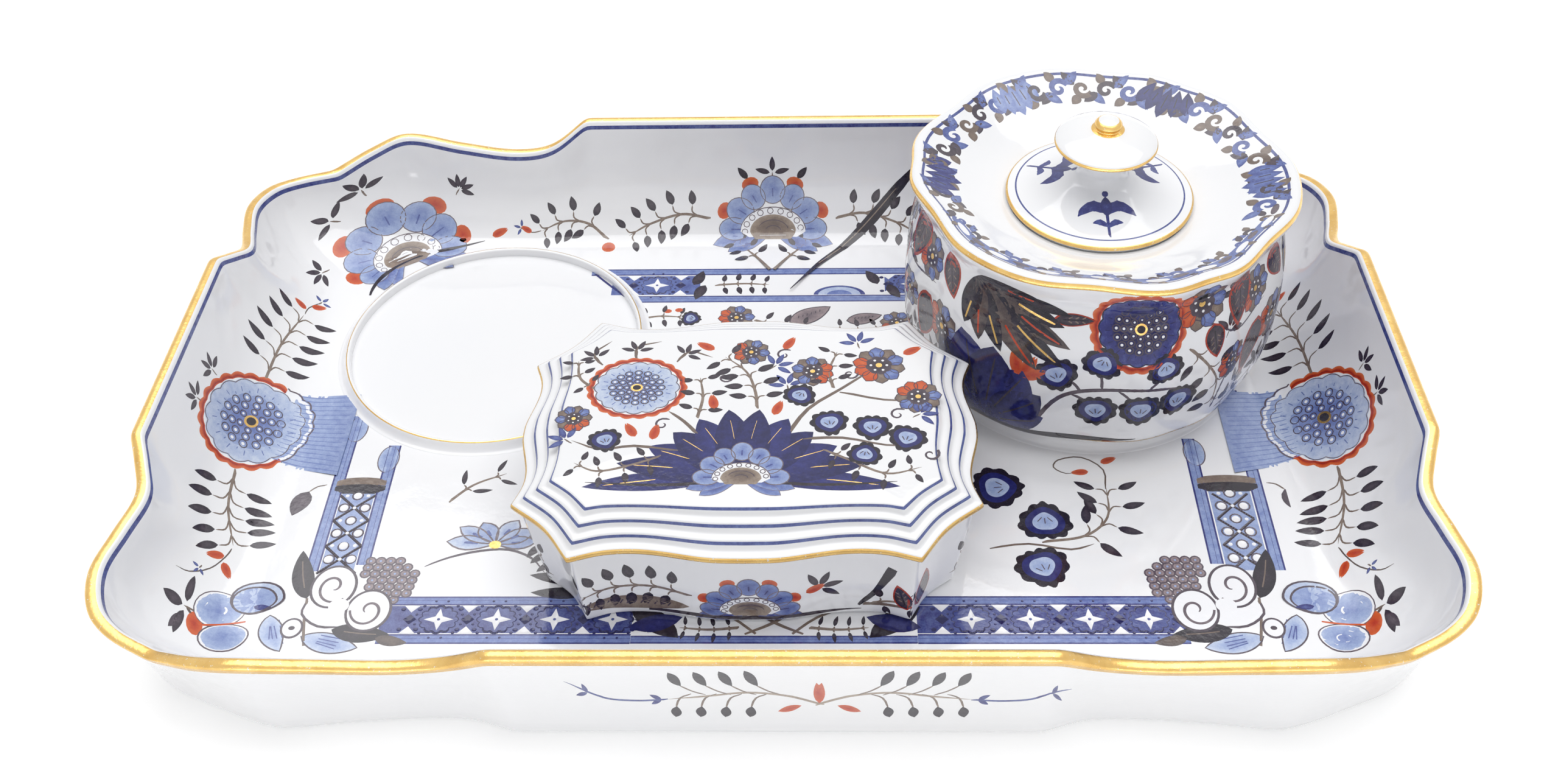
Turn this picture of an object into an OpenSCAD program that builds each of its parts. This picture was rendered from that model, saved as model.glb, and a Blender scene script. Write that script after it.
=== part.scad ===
// Desk inkstand in glazed porcelain: a wavy-rimmed writing tray with two round seats, an ink
// pot with its liner and lid in the right-hand seat, and a small lidded box in front.
// Millimetres. +Z is up, +Y is the back of the tray, and the origin is on the table, under
// the middle of the tray.

/* [Tray] */
// Length of the tray, between its corner lobes
tray_l = 305; // [300:1:316]
// Depth of the tray, between its two straight long sides
tray_w = 195.6; // [194:0.2:204]
// Height of the rim above the table, along the straight sides
tray_h = 40; // [37:0.5:46]
// Height of the tray's floor above the table
floor_h = 7; // [6.5:0.5:9]
// Width of the rim's rounded edge
rim_w = 3.2; // [2.6:0.1:4]
// How deep the rim dips beside the straight sides, as a share of the modelled dip
rim_wave = 1; // [0.6:0.05:1.2]

/* [Seats] */
// Distance of each seat's centre from the middle of the tray, along its length
seat_x = 80.4; // [79:0.2:84]
// Distance of the seats' centres behind the middle of the tray
seat_y = 34.6; // [33:0.2:36]
// Inner radius of the raised ring that keeps a pot in place
seat_r = 39.5; // [39.5:0.1:40.5]
// Height of that ring
seat_h = 2.4; // [2:0.1:3]

/* [Ink pot] */
// Mean radius of the pot's belly
pot_r = 48; // [47:0.2:49]
// Height of the pot's rim above its foot
pot_h = 58; // [55:0.5:62]
// Radius of the foot that stands in the seat
pot_foot_r = 38.8; // [38:0.1:38.9]
// How far the rim's lobes swell and pinch from round
lobe_depth = 0.9; // [0.3:0.1:1.1]
// Radius of the mouth that the liner hangs in
mouth_r = 20.6; // [20:0.1:21]
// Depth of the liner below its flange
liner_depth = 37; // [30:0.5:38]

/* [Lid and knob] */
// Radius of the small lid
lid_r = 23.4; // [23.2:0.1:23.8]
// Radius of the mushroom knob
knob_r = 12.6; // [11:0.1:13.4]
// Height of the knob's gilt edge above the lid's seat
knob_h = 16.4; // [15:0.2:18]

/* [Box] */
// Length of the box over the pointed tips of its lid
box_l = 107.6; // [104:0.2:108.2]
// Depth of the box over the tips of its lid
box_w = 79.6; // [76:0.2:79.8]
// Height of the box body
box_h = 24; // [20:0.5:26]
// Height of the moulded lid
box_lid_h = 8; // [7:0.2:10]
// Box centre, left of the middle of the tray
box_left = 7; // [6.4:0.1:7.1]
// Box centre, in front of the middle of the tray
box_front = 25.5; // [25.4:0.1:26.2]
// Thickness of the box's walls
box_wall = 3; // [2.4:0.1:3.6]

/* [Hidden] */
$fn = 96;
slip = 0.4;              // clearance between porcelain pieces that lift apart
half_l = tray_l / 2;
half_w = tray_w / 2;
rim_rise = tray_h - floor_h;
curve_steps = 3;         // steps on each span of a smooth outline

// --- Smooth outlines ---------------------------------------------------------------------

function run(p, a, b) = a >= b ? 0 : norm(p[a + 1] - p[a]) + run(p, a + 1, b);

function slope(p, i) =
    let (a = max(i - 1, 0), b = min(i + 1, len(p) - 1))
    (p[b] - p[a]) / run(p, a, b);

function on_span(p, i, t) =
    let (h = norm(p[i + 1] - p[i]))
    (2 * t ^ 3 - 3 * t ^ 2 + 1) * p[i] + (t ^ 3 - 2 * t ^ 2 + t) * h * slope(p, i)
    + (3 * t ^ 2 - 2 * t ^ 3) * p[i + 1] + (t ^ 3 - t ^ 2) * h * slope(p, i + 1);

// Points of a smooth curve through p, without its last point
function curve(p, steps = curve_steps) =
    [for (i = [0:len(p) - 2], k = [0:steps - 1]) on_span(p, i, k / steps)];

function flip(p, sx, sy) = [for (i = [0:len(p) - 1]) p[i] * (i == 0 ? sx : i == 1 ? sy : 1)];

// A closed outline from its quarter, which runs from the +Y axis round to the +X axis
function four_way(q) =
    let (n = len(q))
    concat(
        q,
        [for (i = [n - 2:-1:0]) flip(q[i], 1, -1)],
        [for (i = [1:n - 1]) flip(q[i], -1, -1)],
        [for (i = [n - 2:-1:1]) flip(q[i], -1, 1)]);

// A closed skin over rings of points that all run clockwise, seen from above
module loft(rings) {
    n = len(rings[0]);
    last = len(rings) - 1;
    hubs = [for (r = [rings[0], rings[last]]) [0, 0, r[0][2]]];
    sides = [
        for (j = [0:last - 1], i = [0:n - 1])
        let (a = j * n + i, b = j * n + (i + 1) % n)
        each [[a, b, a + n], [b, b + n, a + n]]];
    caps = [
        for (i = [0:n - 1])
        let (k = (i + 1) % n, first_hub = n * (last + 1))
        each [[i, first_hub, k], [last * n + k, first_hub + 1, last * n + i]]];
    polyhedron(points = concat([for (r = rings) each r], hubs), faces = concat(sides, caps));
}

// --- Tray --------------------------------------------------------------------------------

end_inset = 0.8;         // the straight short sides stand this far inside the corner lobes

// The rim's quarter outline: [distance from the end, distance from the long side, dip]
long_lobes = [
    [94, 0, 0], [83.5, 3.2, 6.8], [72.5, 3.5, 8.4], [57, 2.4, 6.6], [40.5, 1, 4.2],
    [30, 3.8, 7.2], [18.7, 9, 11.6]];
corner_lobes = [
    [18.7, 9, 11.6], [8.6, 14.4, 10.6], [2.8, 20.4, 9.4], [0, 30.5, 8.2], [1.6, 42, 8],
    [4.2, 52.3, 6.4], [2.8, 59, 3.2], [end_inset, 65.2, 0]];
foot_inset_l = 25;       // from the rim in to where the floor turns flat, at the ends
foot_inset_w = 19;       // the same, at the long sides
floor_corner_r = 24;

function rim_point(p) = [half_l - p[0], half_w - p[1], -p[2] * rim_wave];

rim_quarter = concat(
    [[0, half_w, 0], [30, half_w, 0]],
    curve([for (p = long_lobes) rim_point(p)]),
    curve([for (p = corner_lobes) rim_point(p)]),
    [rim_point(corner_lobes[len(corner_lobes) - 1]), [half_l - end_inset, 0, 0]]);
rim_line = four_way(rim_quarter);

// The point of the flat floor's edge that lies under a point of the rim
function floor_edge(p) =
    let (
        core = [half_l - foot_inset_l - floor_corner_r, half_w - foot_inset_w - floor_corner_r],
        q = [for (i = [0, 1]) sign(p[i]) * min(abs(p[i]), core[i])],
        out = [p[0], p[1]] - q)
    q + out * floor_corner_r / norm(out);

// A ring of the tray: reach is 0 at the rim and 1 at the floor's edge, inset is in millimetres,
// base and rise give its height: base above the table plus rise times the rim's own rise
function tray_ring(inset, base, rise = 0, reach = 0) = [
    for (p = rim_line)
    let (
        e = floor_edge(p),
        in = e - [p[0], p[1]],
        room = norm(in),
        q = [p[0], p[1]] + in / room * (inset + reach * (room - inset)))
    [q[0], q[1], base + rise * (rim_rise + p[2])]];

wall_steps = 6;

// The inside of the wall: upright at the rim, and a cove where it meets the floor
cove_rings = [
    for (k = [1:wall_steps])
    let (s = k / wall_steps, a = 90 * s)
    tray_ring(
        inset = rim_w,
        base = floor_h,
        rise = (0.3 * (1 - s) + 0.7 * (1 - sin(a))) * 0.97,
        reach = 0.3 * s + 0.7 * (1 - cos(a)))];

module tray_shell() {
    loft(concat(
        [
            tray_ring(inset = 17, base = 2),
            tray_ring(inset = 15.6, base = 0),
            tray_ring(inset = 11, base = 0),
            tray_ring(inset = 9, base = 1.4),
            tray_ring(inset = 7.8, base = 4.4),
            tray_ring(inset = 4.8, base = floor_h, rise = 0.42),
            tray_ring(inset = 0.9, base = floor_h, rise = 0.88),
            tray_ring(inset = 0, base = floor_h, rise = 0.97),
            tray_ring(inset = 0.6, base = floor_h, rise = 1),
            tray_ring(inset = rim_w - 0.9, base = floor_h, rise = 1),
            tray_ring(inset = rim_w, base = floor_h, rise = 0.97)],
        cove_rings));
}

// The raised ring round a seat, with a soft outer slope and a plain bore
module seat_ring() {
    sunk = 1;
    slope_r = seat_r + 3.7;  // where the slope meets the floor
    translate([0, 0, floor_h])
        rotate_extrude()
            polygon(concat(
                [[seat_r, -sunk], [slope_r, -sunk]],
                [for (a = [0:15:75]) [slope_r - 3 * sin(a), seat_h * (1 - cos(a)) * 0.9]],
                [[seat_r + 0.9, seat_h], [seat_r + 0.4, seat_h], [seat_r, seat_h - 0.4]]));
}

module tray() {
    color("white")
        union() {
            tray_shell();
            for (side = [-1, 1])
                translate([side * seat_x, seat_y, 0])
                    seat_ring();
        }
}

// --- Ink pot -----------------------------------------------------------------------------

lobe_count = 6;          // three broad lobes between three that have a dent in the middle
notch_turn = 21;         // one of the notches between lobes, in degrees from +X
notch_sharpness = 2;
dent_turn = 54;          // the middle of one dented lobe
dent_sharpness = 24;
dent_share = 0.9;        // depth of a dent, against a notch's 2
pot_points = 102;

// A row of equal dips of depth 1, count of them round the pot, one at the angle at
function dips(a, count, at, sharpness) = ((1 + cos(count * (a - at))) / 2) ^ sharpness;

// 0.8 over the lobes, down to -1.2 in the notches
function lobe(a) =
    0.8
    - 2 * dips(a, lobe_count, notch_turn, notch_sharpness)
    - dent_share * dips(a, lobe_count / 2, dent_turn, dent_sharpness);

// A clockwise ring of the pot; wave is the share of the rim's full lobe depth
function pot_ring(r, z, wave = 0) = [
    for (i = [0:pot_points - 1])
    let (a = -360 * i / pot_points, q = r + wave * lobe_depth * lobe(a))
    [q * cos(a), q * sin(a), z]];

rim_turn = pot_h - 1.7;  // height of the rim's gilt edge
land_z = pot_h - 8.6;    // the flat ring round the mouth
land_r = 24.4;

pot_profile = [
    // radius, height, wave
    [pot_foot_r, 0, 0], [pot_foot_r + 0.2, seat_h + 0.4, 0], [pot_foot_r + 3.6, 4, 0.2],
    [pot_r - 2.3, 7, 0.7], [pot_r - 0.6, 13, 1], [pot_r, 22, 1.1], [pot_r - 0.2, 32, 1.1],
    [pot_r - 1.3, 41, 1], [pot_r - 2.8, 47.5, 0.9], [pot_r - 2.9, 50, 0.9],
    [pot_r - 1.6, 53, 1.1], [pot_r - 0.4, rim_turn - 0.6, 1.3], [pot_r - 0.5, rim_turn + 0.8, 1.3],
    [pot_r - 1.5, pot_h, 1.3], [pot_r - 2.8, pot_h - 0.1, 1.2], [pot_r - 4.2, pot_h - 1, 1.1],
    [pot_r - 10, pot_h - 3.3, 0.5], [pot_r - 17, pot_h - 6.4, 0.1], [land_r + 1, land_z + 0.3, 0],
    [land_r, land_z, 0]];

liner_flange_r = 22.4;
liner_flange_h = 2;
pot_skin = 3;

// What is cut out of the pot: its inside, the mouth, and the rebate that takes the liner
module pot_hollow() {
    floor_z = 5;
    inner = [
        [pot_foot_r - 6, floor_z], [pot_foot_r - 1, floor_z + 1.4], [pot_r - 5.2, 12],
        [pot_r - 4.4, 22], [pot_r - 4.6, 34], [pot_r - 6.4, 46], [pot_r - 9, pot_h - 9.4],
        [pot_r - 16, pot_h - 10.6], [mouth_r, land_z - pot_skin - 0.6]];
    rotate_extrude()
        polygon(concat(
            [[0, floor_z]],
            curve(inner, 3),
            [[mouth_r, land_z - pot_skin - 0.6], [mouth_r, land_z - liner_flange_h]],
            [[liner_flange_r + slip, land_z - liner_flange_h], [liner_flange_r + slip, pot_h + 1]],
            [[0, pot_h + 1]]));
}

module pot_foot_recess() {
    recess_h = 1.8;
    translate([0, 0, -1])
        cylinder(h = recess_h + 1, r1 = pot_foot_r - 4, r2 = pot_foot_r - 5.5);
}

module at_pot() {
    translate([seat_x, seat_y, floor_h])
        children();
}

module pot_body() {
    color("ghostwhite")
        at_pot()
            difference() {
                loft([for (p = pot_profile) pot_ring(p[0], p[1], p[2])]);
                pot_hollow();
                pot_foot_recess();
            }
}

// The cup that holds the ink, hung by its flange in the pot's mouth
liner_r = mouth_r - slip;
liner_wall = 2.2;

module ink_liner() {
    top = land_z;
    low = top - liner_flange_h - liner_depth;
    bend = 5;
    color("whitesmoke")
        at_pot()
            rotate_extrude()
                polygon(concat(
                    [[0, low]],
                    [for (a = [0:15:90])
                        [liner_r - bend + bend * sin(a), low + bend * (1 - cos(a))]],
                    [[liner_r, top - liner_flange_h], [liner_flange_r, top - liner_flange_h]],
                    [[liner_flange_r, top - 0.3], [liner_flange_r - 0.3, top]],
                    [[liner_r - liner_wall + 0.4, top], [liner_r - liner_wall, top - 0.4]],
                    [for (a = [90:-15:0])
                        [
                            liner_r - liner_wall - (bend - 1) * (1 - sin(a)),
                            low + liner_wall + (bend - 1) * (1 - cos(a))]],
                    [[0, low + liner_wall]]));
}

// The small lid, its mushroom knob and the gilt bud on top, fired as one piece
module pot_lid() {
    edge = 1.9;
    collar_r = liner_r - liner_wall - slip;
    dome = [
        [lid_r - 0.5, edge - 0.1], [lid_r - 2.4, edge + 0.3], [lid_r - 8, edge + 1.6],
        [10, edge + 3], [6.6, edge + 4.4], [5, edge + 7], [5.2, edge + 9.6],
        [7.4, knob_h - 2.2], [knob_r - 1.4, knob_h - 0.8], [knob_r, knob_h],
        [knob_r - 0.5, knob_h + 1], [knob_r * 0.66, knob_h + 2.8], [3.4, knob_h + 4]];
    bud = [[2.9, knob_h + 4], [3.3, knob_h + 5], [2.7, knob_h + 6.2], [1.2, knob_h + 6.9]];
    color("snow")
        at_pot()
            translate([0, 0, land_z])
                rotate_extrude()
                    polygon(concat(
                        [[0, 0.6], [collar_r - 3, 0.6], [collar_r - 2.6, -4.4], [collar_r - 0.4, -4.4]],
                        [[collar_r, -4], [collar_r, 0], [liner_flange_r - 0.8, 0]],
                        [[liner_flange_r - 0.4, 0.3], [lid_r - 0.3, 0.3], [lid_r, 0.7]],
                        [[lid_r, edge - 0.6]],
                        curve(dome, 4),
                        curve(bud, 3),
                        [[0, knob_h + 7]]));
}

// --- Box ---------------------------------------------------------------------------------

// The box's outline drawn in by a distance, and at its ends by end_in more. The long sides and
// the ends each run from a pointed tip into a hollow and out to a bow in the middle, and the
// corners are cut off in a shallow hollow. depth scales those waves.
chamfer_l = 14.6;
chamfer_w = 16.3;
tip_drift = 0.4;         // how far the tips draw together along the long side, per inset

function box_line(inset, depth = 1, end_in = 0) =
    let (
        x = box_l / 2 - inset - end_in,
        y = box_w / 2 - inset,
        tip = [box_l / 2 - chamfer_l - tip_drift * (inset + end_in / 2), y],
        horn = [x, box_w / 2 - chamfer_w - 0.2 * inset + end_in / 2],
        bay = (tip + horn) / 2 - [1.1, 1] * depth)
    four_way(concat(
        curve([[0, y + 0.2 * depth], [8, y - 0.1 * depth], [22, y - 2.5 * depth],
               [31, y - 2.3 * depth], tip]),
        curve([tip, bay, horn]),
        curve([horn, [x - 1.9 * depth, horn[1] - 6], [x - 2 * depth, horn[1] - 11],
               [x, 3], [x + 0.2 * depth, 0]]),
        [[x + 0.2 * depth, 0]]));

function box_ring(inset, z, depth = 1, end_in = 0) =
    [for (p = box_line(inset, depth, end_in)) [p[0], p[1], z]];

module at_box() {
    translate([-box_left, -box_front, floor_h])
        children();
}

// Rounded-in body: widest under the lid, drawn in to a flat foot, the ends more than the sides
module box_body() {
    recess_h = 1;
    rim_inset = 2;
    color("floralwhite")
        at_box()
            difference() {
                loft([
                    box_ring(3.8, 0, 0.9, 2.8), box_ring(3, 0.8, 0.9, 2.8), box_ring(2.9, 3.4, 0.9, 2.5),
                    box_ring(2.5, box_h * 0.4, 0.9, 1.7), box_ring(2.2, box_h * 0.68, 0.95, 0.8),
                    box_ring(rim_inset, box_h * 0.9, 1, 0.2), box_ring(rim_inset, box_h, 1)]);
                translate([0, 0, box_wall])
                    linear_extrude(box_h)
                        polygon(box_line(rim_inset + box_wall + 1.8, 0.8, 1.2));
                translate([0, 0, -1])
                    linear_extrude(recess_h + 1)
                        polygon(box_line(10, 0.5));
            }
}

// The lid: three soft steps up to a flat panel, hollow below, with a locating rib
lid_step = 3.2;          // how far each step draws in
panel_inset = 3 * lid_step;

module box_lid() {
    edge_h = 1.8;
    rise = (box_lid_h - edge_h) / 3;
    rib_inset = 2 + box_wall + 1.8 + slip;
    rib_w = 2.4;
    rib_h = 2.2;
    roof = 3;
    color("white")
        at_box()
            translate([0, 0, box_h])
                union() {
                    difference() {
                        loft(concat(
                            [box_ring(0.7, 0, 1), box_ring(0, 0.5, 1), box_ring(0, edge_h - 0.5, 1)],
                            [for (k = [0:2]) each [
                                box_ring(k * lid_step + 0.5, edge_h + k * rise, 1 - 0.22 * k),
                                box_ring((k + 0.62) * lid_step, edge_h + (k + 0.2) * rise, 1 - 0.22 * k),
                                box_ring((k + 0.9) * lid_step, edge_h + (k + 0.62) * rise, 0.9 - 0.22 * k)]],
                            [box_ring(panel_inset + 0.6, box_lid_h - 0.15, 0.32),
                             box_ring(panel_inset + 2, box_lid_h, 0.3)]));
                        translate([0, 0, -1])
                            linear_extrude(box_lid_h - roof + 1)
                                polygon(box_line(rib_inset + rib_w, 0.6, 1.2));
                    }
                    translate([0, 0, -rib_h])
                        linear_extrude(rib_h + 1)
                            difference() {
                                polygon(box_line(rib_inset, 0.8, 1.2));
                                polygon(box_line(rib_inset + rib_w, 0.6, 1.2));
                            }
                }
}

tray();
pot_body();
ink_liner();
pot_lid();
box_body();
box_lid();
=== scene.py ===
"""Desk inkstand in white porcelain, painted in blue, iron red, brown and gold.

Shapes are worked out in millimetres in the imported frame, and become metres when a mesh is
made. Each ware is a grid of points: it is both the ware's mesh and the chart that its
painting lies on.
"""

import math

import bpy
import numpy as np
from mathutils import Matrix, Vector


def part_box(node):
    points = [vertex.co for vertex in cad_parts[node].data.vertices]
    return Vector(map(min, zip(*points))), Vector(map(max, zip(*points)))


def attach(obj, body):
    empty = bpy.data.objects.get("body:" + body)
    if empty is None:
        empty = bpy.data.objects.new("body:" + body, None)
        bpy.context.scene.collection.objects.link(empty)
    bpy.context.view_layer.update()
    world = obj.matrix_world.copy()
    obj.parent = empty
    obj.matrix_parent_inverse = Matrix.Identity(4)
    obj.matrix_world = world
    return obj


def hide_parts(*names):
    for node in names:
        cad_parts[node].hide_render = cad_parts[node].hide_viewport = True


MM = 0.001
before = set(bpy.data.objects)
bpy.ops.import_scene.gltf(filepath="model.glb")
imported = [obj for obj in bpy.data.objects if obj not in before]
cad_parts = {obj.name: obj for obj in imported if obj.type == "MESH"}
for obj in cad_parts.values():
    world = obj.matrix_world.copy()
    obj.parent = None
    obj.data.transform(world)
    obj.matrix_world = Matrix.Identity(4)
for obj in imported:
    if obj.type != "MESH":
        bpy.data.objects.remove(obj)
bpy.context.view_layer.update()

# --- Sizes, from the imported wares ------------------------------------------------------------


def corners(node):
    low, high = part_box(node)
    return np.array(low) / MM, np.array(high) / MM


HALF_L, HALF_W, TRAY_H = corners("tray")[1]
FLOOR_H = corners("pot_body")[0][2]
SEAT_X, SEAT_Y = np.mean(corners("ink_liner"), axis=0)[:2]
LAND_Z = corners("ink_liner")[1][2] - FLOOR_H
POT_H = corners("pot_body")[1][2] - FLOOR_H
BOX_X, BOX_Y = np.mean(corners("box_lid"), axis=0)[:2]
BOW = 0.2                       # the middle of each side of the box stands out past its tips
BOX_L, BOX_W = np.ptp(corners("box_lid"), axis=0)[:2] - 2 * BOW
BOX_H = corners("box_body")[1][2] - FLOOR_H
LID_H = corners("box_lid")[1][2] - FLOOR_H - BOX_H
SEAT = np.array([SEAT_X, SEAT_Y, FLOOR_H])
LEFT_SEAT = SEAT * [-1, 1, 1]
BOX = np.array([BOX_X, BOX_Y, FLOOR_H])

# --- Smooth lines ----------------------------------------------------------------------------


def smooth(points, steps):
    """A curve through the points, whatever their number of columns, with steps on each span."""
    p = np.array(points, float)
    chord = np.linalg.norm(np.diff(p, axis=0), axis=1)
    slope = np.empty_like(p)
    slope[0], slope[-1] = (p[1] - p[0]) / chord[0], (p[-1] - p[-2]) / chord[-1]
    slope[1:-1] = (p[2:] - p[:-2]) / (chord[1:] + chord[:-1])[:, None]
    t = np.linspace(0, 1, steps, endpoint=False)[:, None]
    spans = [
        (2 * t**3 - 3 * t**2 + 1) * p[i] + (t**3 - 2 * t**2 + t) * h * slope[i]
        + (3 * t**2 - 2 * t**3) * p[i + 1] + (t**3 - t**2) * h * slope[i + 1]
        for i, h in enumerate(chord)
    ]
    return np.vstack([*spans, p[-1:]])


def four_way(quarter):
    """A closed outline from the quarter that runs from the +Y axis to the +X axis."""
    flip_x, flip_y = (
        np.array([-1 if i == k else 1 for i in range(quarter.shape[1])]) for k in (0, 1))
    return np.vstack([
        quarter,
        (quarter * flip_y)[-2::-1],
        (quarter * flip_x * flip_y)[1:],
        (quarter * flip_x)[-2:0:-1],
    ])


def run_along(points):
    """The distance along a run of points, at each of them."""
    return np.concatenate([[0], np.cumsum(np.linalg.norm(np.diff(points, axis=0), axis=1))])


def even(loop, count):
    """The closed outline again, with count points at equal steps in plan."""
    closed = np.vstack([loop, loop[:1]])
    run = run_along(closed[:, :2])
    at = np.linspace(0, run[-1], count, endpoint=False)
    return np.column_stack([np.interp(at, run, column) for column in closed.T])


def softened(loop, spread):
    """The closed outline with its corners eased by a running mean, spread points wide."""
    k = np.arange(-int(3 * spread), int(3 * spread) + 1)
    weight = np.exp(-(k**2) / (2 * spread**2))
    return sum(w * np.roll(loop, -i, axis=0) for w, i in zip(weight / weight.sum(), k))


# --- Wares -----------------------------------------------------------------------------------


def quads(*corners):
    """Faces of four corners, from a grid for each corner."""
    return np.stack(corners, -1).reshape(-1, 4).tolist()


def unit(v):
    return v / np.maximum(np.linalg.norm(v, axis=-1, keepdims=True), 1e-12)


class Ware:
    """A skin over rings of points. A step round a ring crossed with a step to the next ring
    points out of the clay. Hubs close the first and the last ring, or the skin joins up."""

    def __init__(self, rings, hubs=()):
        self.grid = np.asarray(rings, float)
        self.hubs = [np.asarray(h, float) for h in hubs]
        up = np.gradient(self.grid, axis=0)
        if not self.hubs:
            up = np.roll(self.grid, -1, axis=0) - np.roll(self.grid, 1, axis=0)
        along = np.roll(self.grid, -1, axis=1) - np.roll(self.grid, 1, axis=1)
        self.normal = unit(np.cross(along, up))

    def mesh(self):
        """Corner points and faces."""
        rows, round_ = self.grid.shape[:2]
        index = np.arange(rows * round_).reshape(rows, round_)
        if not self.hubs:
            index = np.vstack([index, index[:1]])
        here, there = index[:-1], index[1:]
        faces = quads(here, np.roll(here, -1, 1), np.roll(there, -1, 1), there)
        if self.hubs:
            first, last = rows * round_, rows * round_ + 1
            ring = index[0]
            faces += [(first, b, a) for a, b in zip(ring, np.roll(ring, -1))]
            ring = index[-1]
            faces += [(a, b, last) for a, b in zip(ring, np.roll(ring, -1))]
        return np.vstack([self.grid.reshape(-1, 3), *self.hubs]), faces

    def at(self, ring, place):
        """Points and normals at fractions of a ring's number and of a place round it."""
        k = np.clip(np.floor(ring).astype(int), 0, len(self.grid) - 2)
        i = np.floor(place).astype(int)
        g, f = (ring - k)[:, None], (place - i)[:, None]
        i, j = i % self.grid.shape[1], (i + 1) % self.grid.shape[1]

        def blend(a):
            here, there = ((1 - f) * a[row, i] + f * a[row, j] for row in (k, k + 1))
            return (1 - g) * here + g * there

        return blend(self.grid), unit(blend(self.normal))

    def chart(self, round_row, start_row):
        """The skin laid flat: u runs round along one ring, and v across the rings from another,
        both in millimetres. Before the first ring and after the last it goes on straight."""
        run_round = run_along(np.vstack([self.grid[round_row], self.grid[round_row][:1]]))
        step = np.linalg.norm(np.diff(self.grid, axis=0), axis=2)
        run_up = np.vstack([np.zeros(step.shape[1]), np.cumsum(step, axis=0)])
        run_up -= run_up[start_row]

        def at(w):
            place = np.interp(np.mod(w.real, run_round[-1]), run_round, np.arange(len(run_round)))
            i = np.floor(place).astype(int)
            f = place - i
            i, j = i % step.shape[1], (i + 1) % step.shape[1]
            run = (1 - f) * run_up[:, i] + f * run_up[:, j]
            k = np.clip((run <= w.imag).sum(0) - 1, 0, len(run) - 2)
            n = np.arange(len(w))
            return self.at(k + (w.imag - run[k, n]) / (run[k + 1, n] - run[k, n]), place)

        at.round, at.columns = run_round[-1], run_round[:-1]
        return at

    def plan(self, axis, rows):
        """A turned ware's rings seen from above, rows running outwards: places are x + iy."""
        radii = np.linalg.norm(self.grid[rows, :, :2] - axis[:2], axis=2).mean(1)

        def at(w):
            angle = np.mod(np.angle(w) / (2 * math.pi), 1)
            return self.at(np.interp(np.abs(w), radii, rows), angle * self.grid.shape[1])

        return at


TURNED_COUNT = 192              # points round a turned piece


def turned(profile, centre):
    """Rings of a piece turned on the wheel, from its profile of radius and height."""
    angle = np.linspace(0, 2 * math.pi, TURNED_COUNT, endpoint=False)
    spoke = np.column_stack([np.cos(angle), np.sin(angle), np.zeros(TURNED_COUNT)])
    return np.array([centre + r * spoke + [0, 0, z] for r, z in profile])


# Tray. The rim's quarter outline: distance from the end, distance from the long side, and dip.
END_INSET = 0.8
LONG_LOBES = [
    (94, 0, 0), (83.5, 3.2, 6.8), (72.5, 3.5, 8.4), (57, 2.4, 6.6), (40.5, 1, 4.2), (30, 3.8, 7.2),
    (18.7, 9, 11.6)]
CORNER_LOBES = [
    (18.7, 9, 11.6), (8.6, 14.4, 10.6), (2.8, 20.4, 9.4), (0, 30.5, 8.2), (1.6, 42, 8),
    (4.2, 52.3, 6.4), (2.8, 59, 3.2), (END_INSET, 65.2, 0)]
RIM_W = 3.2
RIM_RISE = TRAY_H - FLOOR_H
FOOT_INSET = np.array([25, 19])      # from the rim in to the flat floor, at the ends and sides
FLOOR_CORNER_R = 24
RIM_POINTS = 840


def rim_line():
    def lobes(points):
        return smooth([(HALF_L - a, HALF_W - b, -dip) for a, b, dip in points], 10)

    quarter = np.vstack([
        [(0, HALF_W, 0)], lobes(LONG_LOBES)[:-1], lobes(CORNER_LOBES),
        [(HALF_L - END_INSET, 0, 0)]])
    return softened(even(four_way(quarter), RIM_POINTS), 0.8)


def tray_path():
    """The section through the wall, from the floor up the cove, over the lip, down the outside
    and round the foot: distance in from the rim, share of the way in to the flat floor, share
    of the rim's own rise, and height that they are added to."""
    s = np.linspace(0.9, 0.02, 12)
    a = np.radians(90 * s)
    cove = np.column_stack([
        np.full(12, RIM_W), 0.3 * s + 0.7 * (1 - np.cos(a)),
        (0.3 * (1 - s) + 0.7 * (1 - np.sin(a))) * 0.97, np.full(12, FLOOR_H)])
    floor = [(RIM_W, reach, 0, FLOOR_H) for reach in (1.22, 1.12)]
    lip = [
        (3, 0, 0.98, 7), (2.5, 0, 0.993, 7), (1.7, 0, 1, 7), (0.9, 0, 0.996, 7), (0.3, 0, 0.984, 7),
        (0, 0, 0.965, 7), (0.2, 0, 0.94, 7), (0.9, 0, 0.88, 7)]
    outside = [(2.8, 0, 0.66, 7), (4.8, 0, 0.42, 7), (6.6, 0, 0.16, 5.9), (7.8, 0, 0, 4.4)]
    foot = [
        (9, 0, 0, 1.5), (10, 0, 0, 0.35), (11, 0, 0, 0), (15.4, 0, 0, 0), (16, 0, 0, 0.3),
        (16.7, 0, 0, 1.5), (17.4, 0, 0, 1.95), (19, 0, 0, 2)]
    # Heights are weighed in millimetres for the curve, as the insets are
    scale = np.array([1, 18, RIM_RISE, 1])
    return smooth(np.vstack([floor, cove, lip, outside, foot]) * scale, 2) / scale


RIM = rim_line()
CORE = np.array([HALF_L, HALF_W]) - FOOT_INSET - FLOOR_CORNER_R
OUT = RIM[:, :2] - np.clip(RIM[:, :2], -CORE, CORE)
ROOM = np.linalg.norm(OUT, axis=1) - FLOOR_CORNER_R
OUT = unit(OUT)


def tray_rings():
    rings = []
    for inset, reach, rise, base in tray_path():
        plan = RIM[:, :2] - OUT * (inset + reach * (ROOM - inset))[:, None]
        rings.append(np.column_stack([plan, np.maximum(base + rise * (RIM_RISE + RIM[:, 2]), 0)]))
    return np.array(rings)


tray = Ware(tray_rings(), hubs=[(0, 0, FLOOR_H), (0, 0, 2)])

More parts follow.
